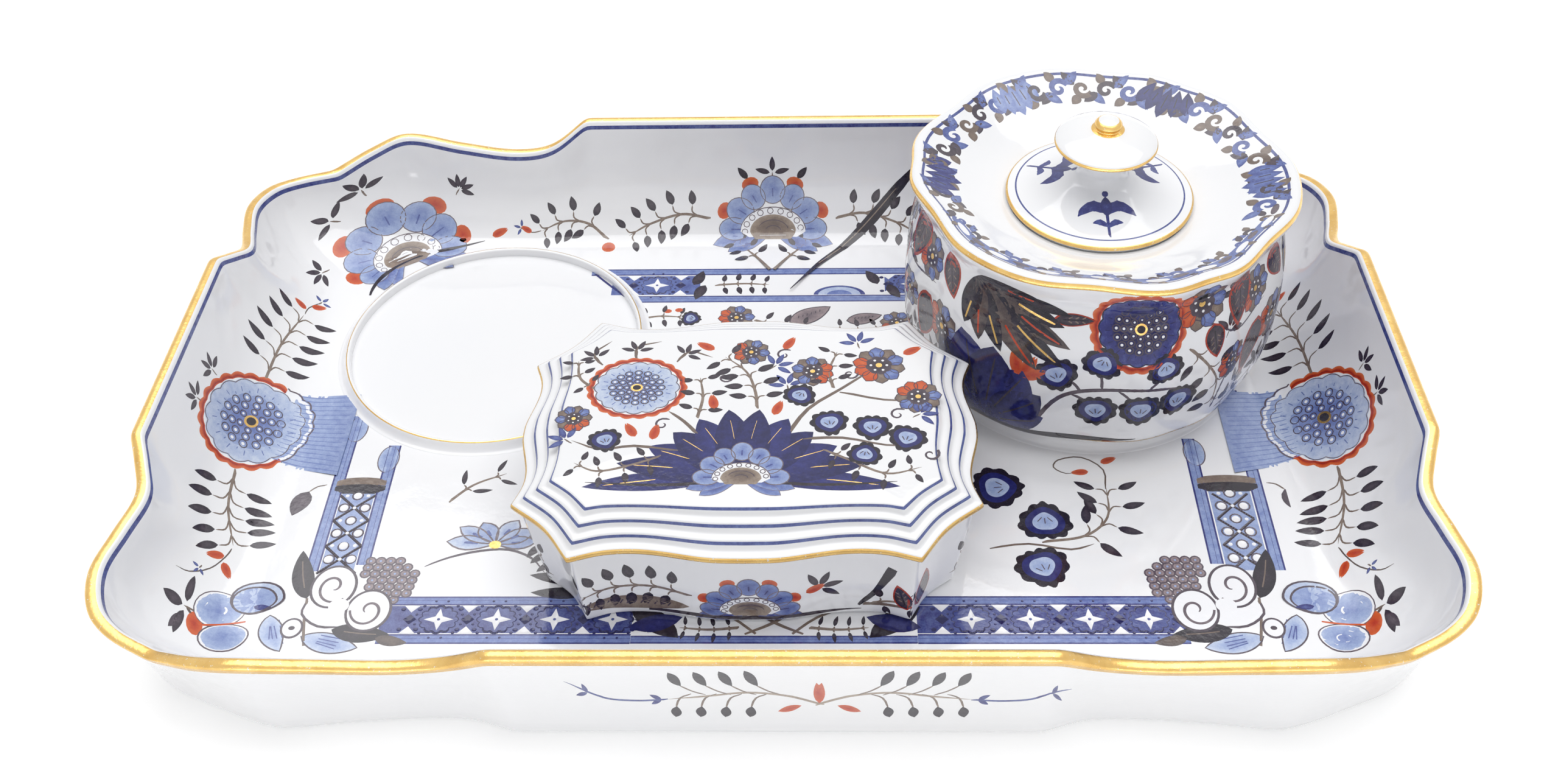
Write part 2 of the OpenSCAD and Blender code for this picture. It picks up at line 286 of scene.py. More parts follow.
# Seats: a low ring round a plain bore
SEAT_R = 39.5
seat_profile = smooth([
    (SEAT_R + 3.9, -0.5), (SEAT_R + 3.6, 0.02), (SEAT_R + 2.7, 0.3), (SEAT_R + 1.9, 1.1),
    (SEAT_R + 1.3, 1.95), (SEAT_R + 0.9, 2.33), (SEAT_R + 0.55, 2.4), (SEAT_R + 0.15, 2.2),
    (SEAT_R, 1.8), (SEAT_R, -0.5)], 3)
seats = [Ware(turned(seat_profile, centre)) for centre in (SEAT, LEFT_SEAT)]

# Pot. Three broad lobes stand between three that have a dent in the middle.
LOBE_DEPTH = 0.9
POT_R, POT_FOOT_R = 48, 38.8
LIP_Z = POT_H - 1.7


def lobe(angle):
    def dips(count, at, sharpness):
        return ((1 + np.cos(count * (angle - math.radians(at)))) / 2) ** sharpness

    return 0.8 - 2 * dips(6, 21, 2) - 0.9 * dips(3, 54, 24)


POT_OUTSIDE = [
    # radius, height, share of the lobes' depth
    (POT_FOOT_R, 0.5, 0), (POT_FOOT_R + 0.2, 2.8, 0), (POT_FOOT_R + 3.6, 4, 0.2),
    (POT_R - 2.3, 7, 0.7), (POT_R - 0.6, 13, 1), (POT_R, 22, 1.1), (POT_R - 0.2, 32, 1.1),
    (POT_R - 1.3, 41, 1), (POT_R - 2.8, 47.5, 0.9), (POT_R - 2.9, 50, 0.9), (POT_R - 1.6, 53, 1.1),
    (POT_R - 0.4, LIP_Z - 0.6, 1.3), (POT_R - 0.35, LIP_Z + 0.5, 1.3),
    (POT_R - 1, POT_H - 0.3, 1.3), (POT_R - 1.7, POT_H, 1.25)]
POT_DISH = [
    (POT_R - 1.7, POT_H, 1.25), (POT_R - 2.8, POT_H - 0.2, 1.2), (POT_R - 4.2, POT_H - 1, 1.1),
    (POT_R - 10, POT_H - 3.3, 0.5), (POT_R - 17, POT_H - 6.4, 0.1), (25.4, LAND_Z + 0.3, 0),
    (24.4, LAND_Z, 0)]
FLANGE_R, FLANGE_H, MOUTH_R = 22.4, 2, 20.6
POT_INSIDE = [
    (FLANGE_R + 0.9, LAND_Z, 0), (FLANGE_R + 0.4, LAND_Z - 0.4, 0),
    (FLANGE_R + 0.4, LAND_Z - FLANGE_H + 0.2, 0), (FLANGE_R, LAND_Z - FLANGE_H, 0),
    (MOUTH_R + 0.4, LAND_Z - FLANGE_H, 0), (MOUTH_R, LAND_Z - FLANGE_H - 0.4, 0),
    (MOUTH_R, LAND_Z - 3.4, 0), (MOUTH_R + 0.8, LAND_Z - 3.7, 0)]
POT_HOLLOW = [
    (MOUTH_R + 0.8, LAND_Z - 3.7, 0), (POT_R - 16, POT_H - 10.6, 0), (POT_R - 9, POT_H - 9.4, 0),
    (POT_R - 6.4, 46, 0), (POT_R - 4.6, 34, 0), (POT_R - 4.4, 22, 0), (POT_R - 5.2, 12, 0),
    (POT_FOOT_R - 1, 6.4, 0), (POT_FOOT_R - 6, 5, 0)]
POT_COUNT = 504


def pot_rings():
    angle = np.linspace(0, 2 * math.pi, POT_COUNT, endpoint=False)
    swell = LOBE_DEPTH * lobe(angle)
    foot = [(33.3, 1.8, 0), (34.2, 0.2, 0), (34.6, 0, 0), (POT_FOOT_R - 0.4, 0, 0)]
    path = np.vstack([
        foot, smooth(POT_OUTSIDE, 4)[:-1], smooth(POT_DISH, 4), POT_INSIDE,
        smooth(POT_HOLLOW, 2)[1:]])
    rings = []
    for r, z, wave in path:
        reach = r + wave * swell
        rings.append(SEAT + np.column_stack([
            reach * np.cos(angle), reach * np.sin(angle), np.full(POT_COUNT, z)]))
    return rings


pot = Ware(pot_rings(), hubs=[SEAT + [0, 0, 1.8], SEAT + [0, 0, 5]])

# Liner, a cup hung by its flange
LINER_R, LINER_WALL, LINER_DEPTH, BEND = MOUTH_R - 0.4, 2.2, 37, 5
FLANGE_LOW = LAND_Z - FLANGE_H
LINER_LOW = FLANGE_LOW - LINER_DEPTH
CUP_R = LINER_R - LINER_WALL
quarter_turn = np.radians(np.arange(0, 91, 10))
sine, cosine = np.sin(quarter_turn), np.cos(quarter_turn)
liner_path = np.vstack([
    np.column_stack([LINER_R - BEND + BEND * sine, LINER_LOW + BEND * (1 - cosine)]),
    [(LINER_R, FLANGE_LOW - 0.5), (LINER_R + 0.3, FLANGE_LOW), (FLANGE_R - 0.3, FLANGE_LOW)],
    [(FLANGE_R, FLANGE_LOW + 0.3), (FLANGE_R, LAND_Z - 0.4), (FLANGE_R - 0.4, LAND_Z)],
    [(CUP_R + 0.5, LAND_Z), (CUP_R + 0.1, LAND_Z - 0.2), (CUP_R, LAND_Z - 0.6)],
    np.column_stack([
        CUP_R - (BEND - 1) * (1 - sine), LINER_LOW + LINER_WALL + (BEND - 1) * (1 - cosine)])[::-1],
])
liner = Ware(
    turned(liner_path, SEAT),
    hubs=[SEAT + [0, 0, LINER_LOW], SEAT + [0, 0, LINER_LOW + LINER_WALL]])

# Small lid, with its knob and bud
LID_EDGE, LID_R, KNOB_R, KNOB_H = 1.9, 23.4, 12.6, 16.4
COLLAR_R = LINER_R - LINER_WALL - 0.4
lid_under = [
    (COLLAR_R - 3, 0.6), (COLLAR_R - 2.6, -4.2), (COLLAR_R - 2.2, -4.4), (COLLAR_R - 0.5, -4.4),
    (COLLAR_R, -3.9), (COLLAR_R, -0.3), (COLLAR_R + 0.3, 0), (FLANGE_R - 0.8, 0)]
lid_edge = [
    (FLANGE_R - 0.8, 0), (FLANGE_R - 0.2, 0.25), (LID_R - 0.35, 0.35), (LID_R, 0.8),
    (LID_R, LID_EDGE - 0.6), (LID_R - 0.2, LID_EDGE - 0.3), (LID_R - 0.8, LID_EDGE - 0.05),
    (LID_R - 2.4, LID_EDGE + 0.3)]
lid_dome = [
    (LID_R - 2.4, LID_EDGE + 0.3), (LID_R - 8, LID_EDGE + 1.6), (10, LID_EDGE + 3),
    (6.6, LID_EDGE + 4.4), (5, LID_EDGE + 7), (5.2, LID_EDGE + 9.6), (7.4, KNOB_H - 2.2),
    (KNOB_R - 1.4, KNOB_H - 0.8), (KNOB_R - 0.3, KNOB_H - 0.35), (KNOB_R, KNOB_H + 0.1),
    (KNOB_R - 0.5, KNOB_H + 1), (KNOB_R * 0.66, KNOB_H + 2.8), (3.6, KNOB_H + 4)]
lid_bud = [
    (3.6, KNOB_H + 4), (2.95, KNOB_H + 4.25), (3.1, KNOB_H + 4.7), (3.35, KNOB_H + 5.3),
    (2.7, KNOB_H + 6.2), (1.2, KNOB_H + 6.9)]
lid_path = np.vstack([
    lid_under[:-1], smooth(lid_edge, 3)[:-1], smooth(lid_dome, 6)[:-1], smooth(lid_bud, 4)])
pot_lid = Ware(
    turned(lid_path, SEAT + [0, 0, LAND_Z]),
    hubs=[SEAT + [0, 0, LAND_Z + 0.6], SEAT + [0, 0, LAND_Z + KNOB_H + 7]])

# Box. Each side runs from a pointed tip into a hollow and out to a bow in the middle.
CHAMFER_L, CHAMFER_W, TIP_DRIFT = 14.6, 16.3, 0.4
BOX_WALL = 3


def box_line(inset, depth, end_in):
    """The outline drawn in by inset, and at its ends by end_in more. Depth scales its waves."""
    x, y = BOX_L / 2 - inset - end_in, BOX_W / 2 - inset
    tip = np.array([BOX_L / 2 - CHAMFER_L - TIP_DRIFT * (inset + end_in / 2), y])
    horn = np.array([x, BOX_W / 2 - CHAMFER_W - 0.2 * inset + end_in / 2])
    bay = (tip + horn) / 2 - np.array([1.1, 1]) * depth
    side = [
        (0, y + BOW * depth), (8, y - 0.1 * depth), (22, y - 2.5 * depth), (31, y - 2.3 * depth),
        tip]
    end = [
        horn, (x - 1.9 * depth, horn[1] - 6), (x - 2 * depth, horn[1] - 11), (x, 3),
        (x + BOW * depth, 0)]
    quarter = np.vstack([smooth(side, 14)[:-1], smooth([tip, bay, horn], 12)[:-1], smooth(end, 14)])
    return softened(four_way(quarter), 0.5)[::-1]


def box_ring(inset, z, depth=1, end_in=0):
    plan = box_line(inset, depth, end_in)
    return BOX + np.column_stack([plan, np.full(len(plan), z)])


def box_rings(path, steps):
    """Rings along a smooth path of inset, height, depth and end_in."""
    return [box_ring(inset, z, depth, end_in) for inset, z, depth, end_in in smooth(path, steps)]


def inner_ring(inset, z):
    """A ring of the box's inside, drawn in by inset from its upright wall."""
    return box_ring(2 + BOX_WALL + 1.8 + inset, z, 0.8, 1.2)


box_body = Ware(
    [box_ring(10, 1, 0.5), box_ring(9.9, 0.3, 0.5), box_ring(9.6, 0, 0.5)]
    + [box_ring(4.6, 0, 0.9, 2.8), box_ring(4.1, 0.1, 0.9, 2.8)]
    + box_rings([
        (3.8, 0.3, 0.9, 2.8), (3, 0.9, 0.9, 2.8), (2.9, 3.4, 0.9, 2.5),
        (2.5, BOX_H * 0.4, 0.9, 1.7), (2.2, BOX_H * 0.68, 0.95, 0.8), (2, BOX_H * 0.9, 1, 0.2),
        (2, BOX_H - 0.5, 1, 0)], 4)
    + [box_ring(2.15, BOX_H - 0.12, 1), box_ring(2.5, BOX_H, 1)]
    + [inner_ring(-0.5, BOX_H), inner_ring(-0.1, BOX_H - 0.15), inner_ring(0, BOX_H - 0.6)]
    + [inner_ring(0, BOX_H / 2), inner_ring(0, BOX_WALL + 2.5)]
    + [inner_ring(0.7, BOX_WALL + 0.7), inner_ring(2.5, BOX_WALL)],
    hubs=[BOX + [0, 0, 1], BOX + [0, 0, BOX_WALL]])

EDGE_H, LID_STEP = 1.8, 3.2
PANEL_INSET = 3 * LID_STEP
STEP_RISE = (LID_H - EDGE_H) / 3


def lid_steps():
    """The three steps from the lid's edge up to its flat panel."""
    path = [(0.75, 0, 1, 0), (0.2, 0.2, 1, 0), (0, 0.6, 1, 0), (0, 1.3, 1, 0)]
    for k in range(3):
        depth = 1 - 0.22 * k
        path += [
            (k * LID_STEP + 0.5, EDGE_H + k * STEP_RISE, depth, 0),
            ((k + 0.62) * LID_STEP, EDGE_H + (k + 0.2) * STEP_RISE, depth, 0),
            ((k + 0.9) * LID_STEP, EDGE_H + (k + 0.62) * STEP_RISE, depth - 0.1, 0)]
    return path + [(PANEL_INSET + 0.6, LID_H - 0.15, 0.32, 0), (PANEL_INSET + 2, LID_H, 0.3, 0)]


LID = BOX + [0, 0, BOX_H]
lid_rings = (
    [box_ring(9.9, 4.8, 0.6, 1.2), box_ring(9.6, 4.4, 0.6, 1.2), box_ring(9.6, -2, 0.6, 1.2)]
    + [box_ring(9.4, -2.2, 0.6, 1.2), box_ring(7.5, -2.2, 0.8, 1.2), box_ring(7.2, -1.9, 0.8, 1.2)]
    + [box_ring(7.2, -0.2, 0.8, 1.2), box_ring(6.9, 0, 0.8, 1.2)]
    + box_rings(lid_steps(), 4))
box_lid = Ware(
    [ring + [0, 0, BOX_H] for ring in lid_rings], hubs=[LID + [0, 0, 5], LID + [0, 0, LID_H]])

# --- Finishes --------------------------------------------------------------------------------

GLASS_IOR, COAT_ROUGH = 1.5, 0.03    # of the clear glaze, over the body and over the pigments
class Tap:
    """A shader socket that Python arithmetic works on. Each operator adds its Math node."""

    def __init__(self, finish, socket):
        self.finish, self.socket = finish, socket

    def maths(self, operation, *terms):
        return self.finish.node(
            "ShaderNodeMath", {"operation": operation}, dict(enumerate(terms)))

    def __add__(self, other):
        return self.maths("ADD", self, other)

    __radd__ = __add__

    def __mul__(self, other):
        return self.maths("MULTIPLY", self, other)

    __rmul__ = __mul__

    def __sub__(self, other):
        return self.maths("SUBTRACT", self, other)

    def __rsub__(self, other):
        return self.maths("SUBTRACT", other, self)


class Finish:
    """The nodes of a material or of the world, in the making."""

    def __init__(self, block):
        block.use_nodes = True
        self.block, self.tree = block, block.node_tree
        self.tree.nodes.clear()

    def node(self, kind, settings=None, inputs=None, output=0):
        """A node of a kind, with its settings made first, and values or links on its inputs."""
        made = self.tree.nodes.new(kind)
        for key, value in (settings or {}).items():
            if key == "stops":
                self.ramp(made.color_ramp, value)
            else:
                setattr(made, key, value)
        for key, value in (inputs or {}).items():
            if isinstance(value, Tap):
                self.tree.links.new(value.socket, made.inputs[key])
            else:
                made.inputs[key].default_value = value
        return Tap(self, made.outputs[output]) if made.outputs else None

    @staticmethod
    def ramp(ramp, stops):
        while len(ramp.elements) < len(stops):
            ramp.elements.new(1)
        for element, (position, colour) in zip(ramp.elements, stops):
            element.position, element.color = position, (*colour, 1)

    def noise(self, scale, detail):
        """Noise that is fixed to the piece, with scale in lumps to the metre."""
        where = self.node("ShaderNodeTexCoord", output="Object")
        return self.node(
            "ShaderNodeTexNoise", None, {"Vector": where, "Scale": scale, "Detail": detail}, "Fac")

    def bump(self, height, strength, distance):
        return self.node(
            "ShaderNodeBump", None, {"Height": height, "Strength": strength, "Distance": distance})

    def mix(self, factor, *colours):
        a, b = ((*c, 1) if isinstance(c, tuple) else c for c in colours)
        return self.node(
            "ShaderNodeMix", {"data_type": "RGBA"}, {"Factor": factor, 6: a, 7: b}, output=2)

    def seen(self):
        """One where the eye or a reflection looks, and zero for all other light."""
        kinds = ("Is Camera Ray", "Is Glossy Ray")
        camera, glossy = (self.node("ShaderNodeLightPath", output=kind) for kind in kinds)
        return camera + glossy

    def surface(self, **inputs):
        shader = self.node(
            "ShaderNodeBsdfPrincipled", None, {k.replace("_", " "): v for k, v in inputs.items()})
        return self.shown(shader)

    def shown(self, shader):
        """The material, with this shader as its surface."""
        self.node("ShaderNodeOutputMaterial", None, {"Surface": shader})
        return self.block


def porcelain(name):
    """White body under a clear glaze, with the glaze's faint ripple."""
    f = Finish(bpy.data.materials.new(name))
    colour = f.mix(f.noise(28, 3), (0.905, 0.915, 0.94), (0.935, 0.935, 0.945))
    ripple = f.noise(60, 2) + 0.06 * f.noise(900, 1)
    return f.surface(
        Base_Color=colour, Roughness=0.05 + 0.06 * f.noise(140, 2), IOR=GLASS_IOR, Coat_Weight=0.35,
        Coat_Roughness=COAT_ROUGH, Normal=f.bump(ripple, 0.35, 0.0006))


# --- Meshes ----------------------------------------------------------------------------------


def in_scene(name, data):
    """A new object in the scene."""
    thing = bpy.data.objects.new(name, data)
    bpy.context.scene.collection.objects.link(thing)
    return thing


def new_piece(name, points, faces, material):
    mesh = bpy.data.meshes.new(name)
    mesh.from_pydata((np.asarray(points) * MM).tolist(), [], faces)
    mesh.shade_smooth()
    mesh.materials.append(material)
    mesh.update()
    return in_scene(name, mesh)


def joined(wares):
    """Corner points and faces of several wares as one piece."""
    points, faces, start = [], [], 0
    for ware in wares:
        p, f = ware.mesh()
        points.append(p)
        faces += [tuple(start + i for i in face) for face in f]
        start += len(p)
    return np.vstack(points), faces


for body, wares, node, slot in (
        ("tray", [tray, *seats], "tray", "tray_porcelain"),
        ("pot", [pot], "pot_body", "pot_porcelain"),
        ("liner", [liner], "ink_liner", "liner_porcelain"),
        ("pot_lid", [pot_lid], "pot_lid", "lid_porcelain"),
        ("box", [box_body], "box_body", "box_porcelain"),
        ("box_lid", [box_lid], "box_lid", "box_lid_porcelain")):
    piece = new_piece(f"{body}_ware", *joined(wares), porcelain(f"{body}_ware_glaze"))
    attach(piece, body)
    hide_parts(node)

# --- Pigments --------------------------------------------------------------------------------


def pigment(name, streak, stops):
    """A colour fired under or on the glaze: its ramp runs from a thin wash to a full brush."""
    f = Finish(bpy.data.materials.new(name))
    shade = f.node("ShaderNodeAttribute", {"attribute_name": "shade"}, output="Fac")
    tone = shade + streak * (f.noise(650, 3) - 0.5) + 0.35 * streak * (f.noise(2600, 1) - 0.5)
    return f.surface(
        Base_Color=f.node("ShaderNodeValToRGB", {"stops": stops}, {"Fac": tone}, "Color"),
        Roughness=0.07 + 0.07 * f.noise(500, 2), IOR=GLASS_IOR, Coat_Weight=0.3,
        Coat_Roughness=COAT_ROUGH, Normal=f.bump(f.noise(800, 2), 0.12, 0.0003))


def gold(name):
    """Burnished gilding, rubbed through to the glaze in specks."""
    f = Finish(bpy.data.materials.new(name))
    rub = f.node("ShaderNodeMapRange", None, {"Value": f.noise(1500, 3), 1: 0.66, 2: 0.72})
    warm = f.mix(f.noise(220, 3), (0.60, 0.34, 0.09), (0.90, 0.64, 0.25))
    return f.surface(
        Base_Color=f.mix(rub, warm, (0.90, 0.86, 0.78)), Metallic=1 - rub,
        Roughness=0.2 + 0.16 * f.noise(420, 3), IOR=GLASS_IOR,
        Normal=f.bump(f.noise(1100, 2), 0.3, 0.0002))


PIGMENTS = {
    "cobalt": pigment("cobalt_blue", 0.3, [
        (0, (0.66, 0.73, 0.85)), (0.25, (0.36, 0.45, 0.69)), (0.5, (0.155, 0.215, 0.49)),
        (0.78, (0.03, 0.035, 0.2)), (1, (0.012, 0.012, 0.085))]),
    "iron_red": pigment("iron_red_enamel", 0.3, [
        (0, (0.80, 0.38, 0.22)), (0.4, (0.66, 0.13, 0.035)), (0.75, (0.50, 0.045, 0.014)),
        (1, (0.22, 0.015, 0.01))]),
    "umber": pigment("umber_enamel", 0.34, [
        (0, (0.38, 0.30, 0.31)), (0.45, (0.10, 0.075, 0.10)), (0.8, (0.026, 0.019, 0.032)),
        (1, (0.012, 0.01, 0.018))]),
    "stem_brown": pigment("brown_enamel", 0.36, [
        (0, (0.55, 0.46, 0.37)), (0.5, (0.21, 0.155, 0.125)), (1, (0.055, 0.04, 0.045))]),
    "white_slip": pigment("white_reserve", 0.1, [(0, (0.93, 0.93, 0.95)), (1, (0.9, 0.91, 0.95))]),
    "gilding": gold("gilding"),
}

# --- Brushwork -------------------------------------------------------------------------------

# A film of colour is a thin closed sheet that lies on the glaze, its edge just under it
FILM_EDGE, FILM_TOP, FILM_LAYER, FILM_UNDER = -0.008, 0.03, 0.018, -0.03
# Each film stands a hair over the last, as two in one plane would darken each other
OWN_LIFT, OWN_LIFTS = 0.0002, 17
RAMP, RAMP_SHARE = 0.12, 0.4    # how far in a patch reaches its height, and the most of its reach
SMALL = 4                       # a patch that reaches less than this needs no rings under it
TIGHTEST_R = 30                 # of the skins that the small patches lie on
COLUMN_W = 1.4                  # a line has two more columns for each such width
GAP, FLAT_GAP = 2.2, 40         # between places on a curved skin, and on a flat one
DENSE = 12                      # a run of more places than this is smooth as it is


class Painting:
    """The films laid on one body's wares, kept by pigment until they are made into pieces."""

    def __init__(self, body, slot):
        self.body, self.slot, self.films = body, slot, {}

    def add(self, pigment, *film):
        self.films.setdefault(pigment, []).append(film)

    def piece(self, pigment, name):
        films = self.films[pigment]
        starts = np.cumsum([0] + [len(f[0]) for f in films])
        faces = [
            [start + i for i in face] for start, film in zip(starts, films) for face in film[3]]
        points, normals, shade = (np.concatenate([f[k] for f in films]) for k in range(3))
        piece = new_piece(name, points, faces, PIGMENTS[pigment])
        piece.data.normals_split_custom_set_from_vertices(normals.tolist())
        tone = piece.data.attributes.new("shade", "FLOAT", "POINT")
        tone.data.foreach_set("value", shade.astype(np.float32))
        return piece

    def make(self):
        for pigment in self.films:
            piece = self.piece(pigment, f"{self.body}_{pigment}")
            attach(piece, self.body)


class Brush:
    """Lays films on a chart. Marks are drawn on the complex plane, in millimetres, and the
    brush turns, sizes and moves them to their place."""

    def __init__(self, painting, chart, gap=GAP, origin=0j, unit=1 + 0j, flipped=False):
        self.painting, self.chart, self.gap = painting, chart, gap
        self.origin, self.unit, self.flipped = origin, unit, flipped
    def moved(self, to=0, turn=0, size=1, mirror=False):
        """The brush for a mark elsewhere, turned by degrees; mirror swaps its up and down."""
        to, by = complex(to), size * np.exp(1j * math.radians(turn))
        if self.flipped:
            to, by = np.conj(to), np.conj(by)
        return Brush(
            self.painting, self.chart, self.gap, self.origin + self.unit * to, self.unit * by,
            self.flipped != mirror)

    def mirrored(self, to=0):
        """The brush for a mark and the brush for its mirror image on the left."""
        return self.moved(to), self.moved(to, 180, mirror=True)

    def placed(self, z):
        return self.origin + self.unit * (np.conj(z) if self.flipped else z)

    def lay(self, pigment, w, lift, shade, faces):
        point, normal = self.chart(w)
        own = OWN_LIFT * (sum(map(len, self.painting.films.values())) % OWN_LIFTS)
        lift = np.where(lift > 0, lift + own, lift)[:, None]
        outward = np.where(lift < FILM_EDGE, -normal, normal)
        self.painting.add(pigment, point + normal * lift, outward, shade, faces)
    def fill(self, pigment, outline, layer, shade=0.5, core=None):
        """A patch with a star-shaped outline, its shade passing to core in the middle."""
        w = self.placed(np.asarray(outline, complex))
        if np.sum((np.conj(w) * np.roll(w, -1)).imag) < 0:
            w = w[::-1]
        middle = w.mean()
        reach = np.abs(w - middle)
        small = reach.max() < SMALL
        rings = max(1, math.ceil(reach.max() / self.gap))
        inner = 1 - min(RAMP / reach.mean(), RAMP_SHARE)
        shares = np.concatenate([[1], np.linspace(inner, 0, rings + 1)[:-1]])
        n, rows = len(w), len(shares)
        under = shares[1:1] if small else shares[1:]
        top, low = (middle + s[:, None] * (w - middle) for s in (shares, under))
        lift = np.concatenate([
            np.repeat(np.where(shares == 1, FILM_EDGE, FILM_TOP + layer * FILM_LAYER), n),
            [FILM_TOP + layer * FILM_LAYER], np.full(low.size + 1, FILM_UNDER)])
        lift[-1] -= reach.max() ** 2 / (2 * TIGHTEST_R) if small else 0
        core = shade if core is None else core
        tone = np.concatenate([
            np.repeat(core + (shade - core) * shares, n), [core],
            np.repeat(core + (shade - core) * under, n), [core]])
        t = np.arange(rows * n).reshape(rows, n)
        hub, low_hub = rows * n, rows * n + 1 + low.size
        u = np.vstack([t[:1], hub + 1 + np.arange(low.size).reshape(-1, n)])
        turn = np.roll(np.arange(n), -1)
        faces = quads(t[:-1], t[:-1, turn], t[1:, turn], t[1:])
        faces += quads(u[1:], u[1:, turn], u[:-1, turn], u[:-1])
        faces += [(a, b, hub) for a, b in zip(t[-1], t[-1, turn])]
        faces += [(b, a, low_hub) for a, b in zip(u[-1], u[-1, turn])]
        w = np.concatenate([top.ravel(), [middle], low.ravel(), [middle]])
        self.lay(pigment, w, lift, tone, faces)

    def sheet(self, pigment, rows, layer, shade, closed=False):
        """A strip through rows of places, each row running across it."""
        w = self.placed(np.asarray(rows, complex))
        tone = np.broadcast_to(np.asarray(shade, float), w.shape)
        along, across = w[1:, :-1] - w[:-1, :-1], w[:-1, 1:] - w[:-1, :-1]
        if np.sum((np.conj(along) * across).imag) < 0:
            w, tone = w[:, ::-1], tone[:, ::-1]
        n, columns = w.shape
        lift = np.full(w.shape, FILM_TOP + layer * FILM_LAYER)
        lift[:, [0, -1]] = FILM_EDGE
        if not closed:
            lift[[0, -1]] = FILM_EDGE
        t = np.arange(n * columns).reshape(n, columns)
        u = n * columns + np.arange(n * (columns - 2)).reshape(n, columns - 2)
        u = np.hstack([t[:, :1], u, t[:, -1:]])
        ends = []
        if closed:
            t, u = np.vstack([t, t[:1]]), np.vstack([u, u[:1]])
        else:
            ends = [[*t[0], *u[0, -2:0:-1]], [*t[-1, ::-1], *u[-1, 1:-1]]]
        faces = quads(t[:-1, :-1], t[1:, :-1], t[1:, 1:], t[:-1, 1:])
        faces += quads(u[:-1, :-1], u[:-1, 1:], u[1:, 1:], u[1:, :-1])
        faces += ends
        inside = w[:, 1:-1].ravel()
        self.lay(
            pigment, np.concatenate([w.ravel(), inside]),
            np.concatenate([lift.ravel(), np.full(len(inside), FILM_UNDER)]),
            np.concatenate([tone.ravel(), tone[:, 1:-1].ravel()]), faces)

    def line(self, pigment, points, width, layer=1, shade=0.8, ends=(1, 0.3), closed=False):
        """A brushed line through points. Width may be a list that is spread along it, and ends
        are the shares of the width that the line starts and ends with."""
        p = np.asarray(points, complex) if closed else curve(points, self.gap / abs(self.unit))
        t = np.linspace(0, 1, len(p))
        w = np.interp(t, np.linspace(0, 1, np.size(width)), np.atleast_1d(width).astype(float))
        if closed:
            heading = np.roll(p, -1) - np.roll(p, 1)
        else:
            heading = np.gradient(p)
            w = w * np.interp(t, [0, 0.2, 0.8, 1], [ends[0], 1, 1, ends[1]])
        columns = 3 + 2 * int(w.max() * abs(self.unit) / COLUMN_W)
        spread = np.linspace(-1, 1, columns)
        if layer > 1:       # flat on top, so that its full width shows over what it crosses
            spread = np.concatenate([[-1], np.linspace(-0.8, 0.8, columns - 1), [1]])
        across = 0.5j * np.outer(w * heading / np.abs(heading), spread)
        self.sheet(pigment, p[:, None] + across, layer, shade, closed)

    def edged(self, pigment, outline, look, edge):
        """A patch with a fine umber line round it. Look is the patch's layer and shades, and
        edge is the line's width, layer and shade."""
        self.fill(pigment, outline, *look)
        self.line("umber", outline, *edge, closed=True)


def curve(points, gap):
    """A smooth run of places through those given, about gap apart."""
    p = np.asarray(points, complex)
    if len(p) > DENSE:
        return p
    steps = max(3, math.ceil(np.abs(np.diff(p)).max() / gap))
    return smooth(np.column_stack([p.real, p.imag]), steps) @ [1, 1j]


def on_curve(p, share):
    """The place and the heading, in degrees, at a share of the way along a run of places."""
    run = np.concatenate([[0], np.cumsum(np.abs(np.diff(p)))])
    shares = np.array([share, min(share + 0.02, 1), max(share - 0.02, 0)])
    at, ahead, behind = np.interp(shares * run[-1], run, p)
    return at, math.degrees(np.angle(ahead - behind))


# Outlines


def ellipse(rx, ry, count=24):
    t = np.linspace(0, 2 * math.pi, count, endpoint=False)
    return rx * np.cos(t) + 1j * ry * np.sin(t)


def leaf_shape(length, width, bend=0.0, fullest=0.8, count=8):
    """A leaf or petal from 0 to length, bending to the left; fullest over 1 broadens its tip."""
    t = np.linspace(0, 1, count)
    half = 0.5 * width * np.sin(math.pi * t**fullest) ** 0.8
    rib = length * (t + 1j * bend * t**2)
    side = 1j * (1 + 2j * bend * t) / np.abs(1 + 2j * bend * t)
    return np.concatenate([rib - half * side, (rib + half * side)[-2:0:-1]])


def scalloped(rx, ry, scallops, depth, count=None, start=0.0, stop=360.0):
    """An oval, or an arc of it in degrees, whose edge swells into scallops."""
    whole = stop - start >= 360
    t = np.radians(np.linspace(start, stop, count or max(24, scallops * 6), endpoint=not whole))
    swell = 1 + depth * (np.abs(np.cos(scallops * t / 2)) - 0.6)
    return swell * (rx * np.cos(t) + 1j * ry * np.sin(t))


def spiral(radius, turns, start, count=40):
    """A run of places that winds in to a sixth of the radius."""
    t = np.linspace(0, 1, count)
    way = np.exp(1j * (math.radians(start) + 2 * math.pi * turns * t))
    return radius * (1 - (1 - 0.16) * t**0.85) * way


def ray(degrees):
    return np.exp(1j * math.radians(degrees))


# Motifs


def strew(b, motif, *places):
    """The same motif several times, each with the places and sizes that it asks for."""
    for place in places:
        motif(b, *place)


def stalk(b, points, width, shade=0.6, layer=1, ends=(1, 0.3)):
    b.line("stem_brown", points, width, layer, shade, ends)


def leaf(b, at, turn, length, width, pigment="umber", layer=1, shade=0.6, bend=0.0, fullest=0.8):
    outline = leaf_shape(length, width, bend, fullest)
    b.moved(at, turn).fill(pigment, outline, layer, shade, shade - 0.15)


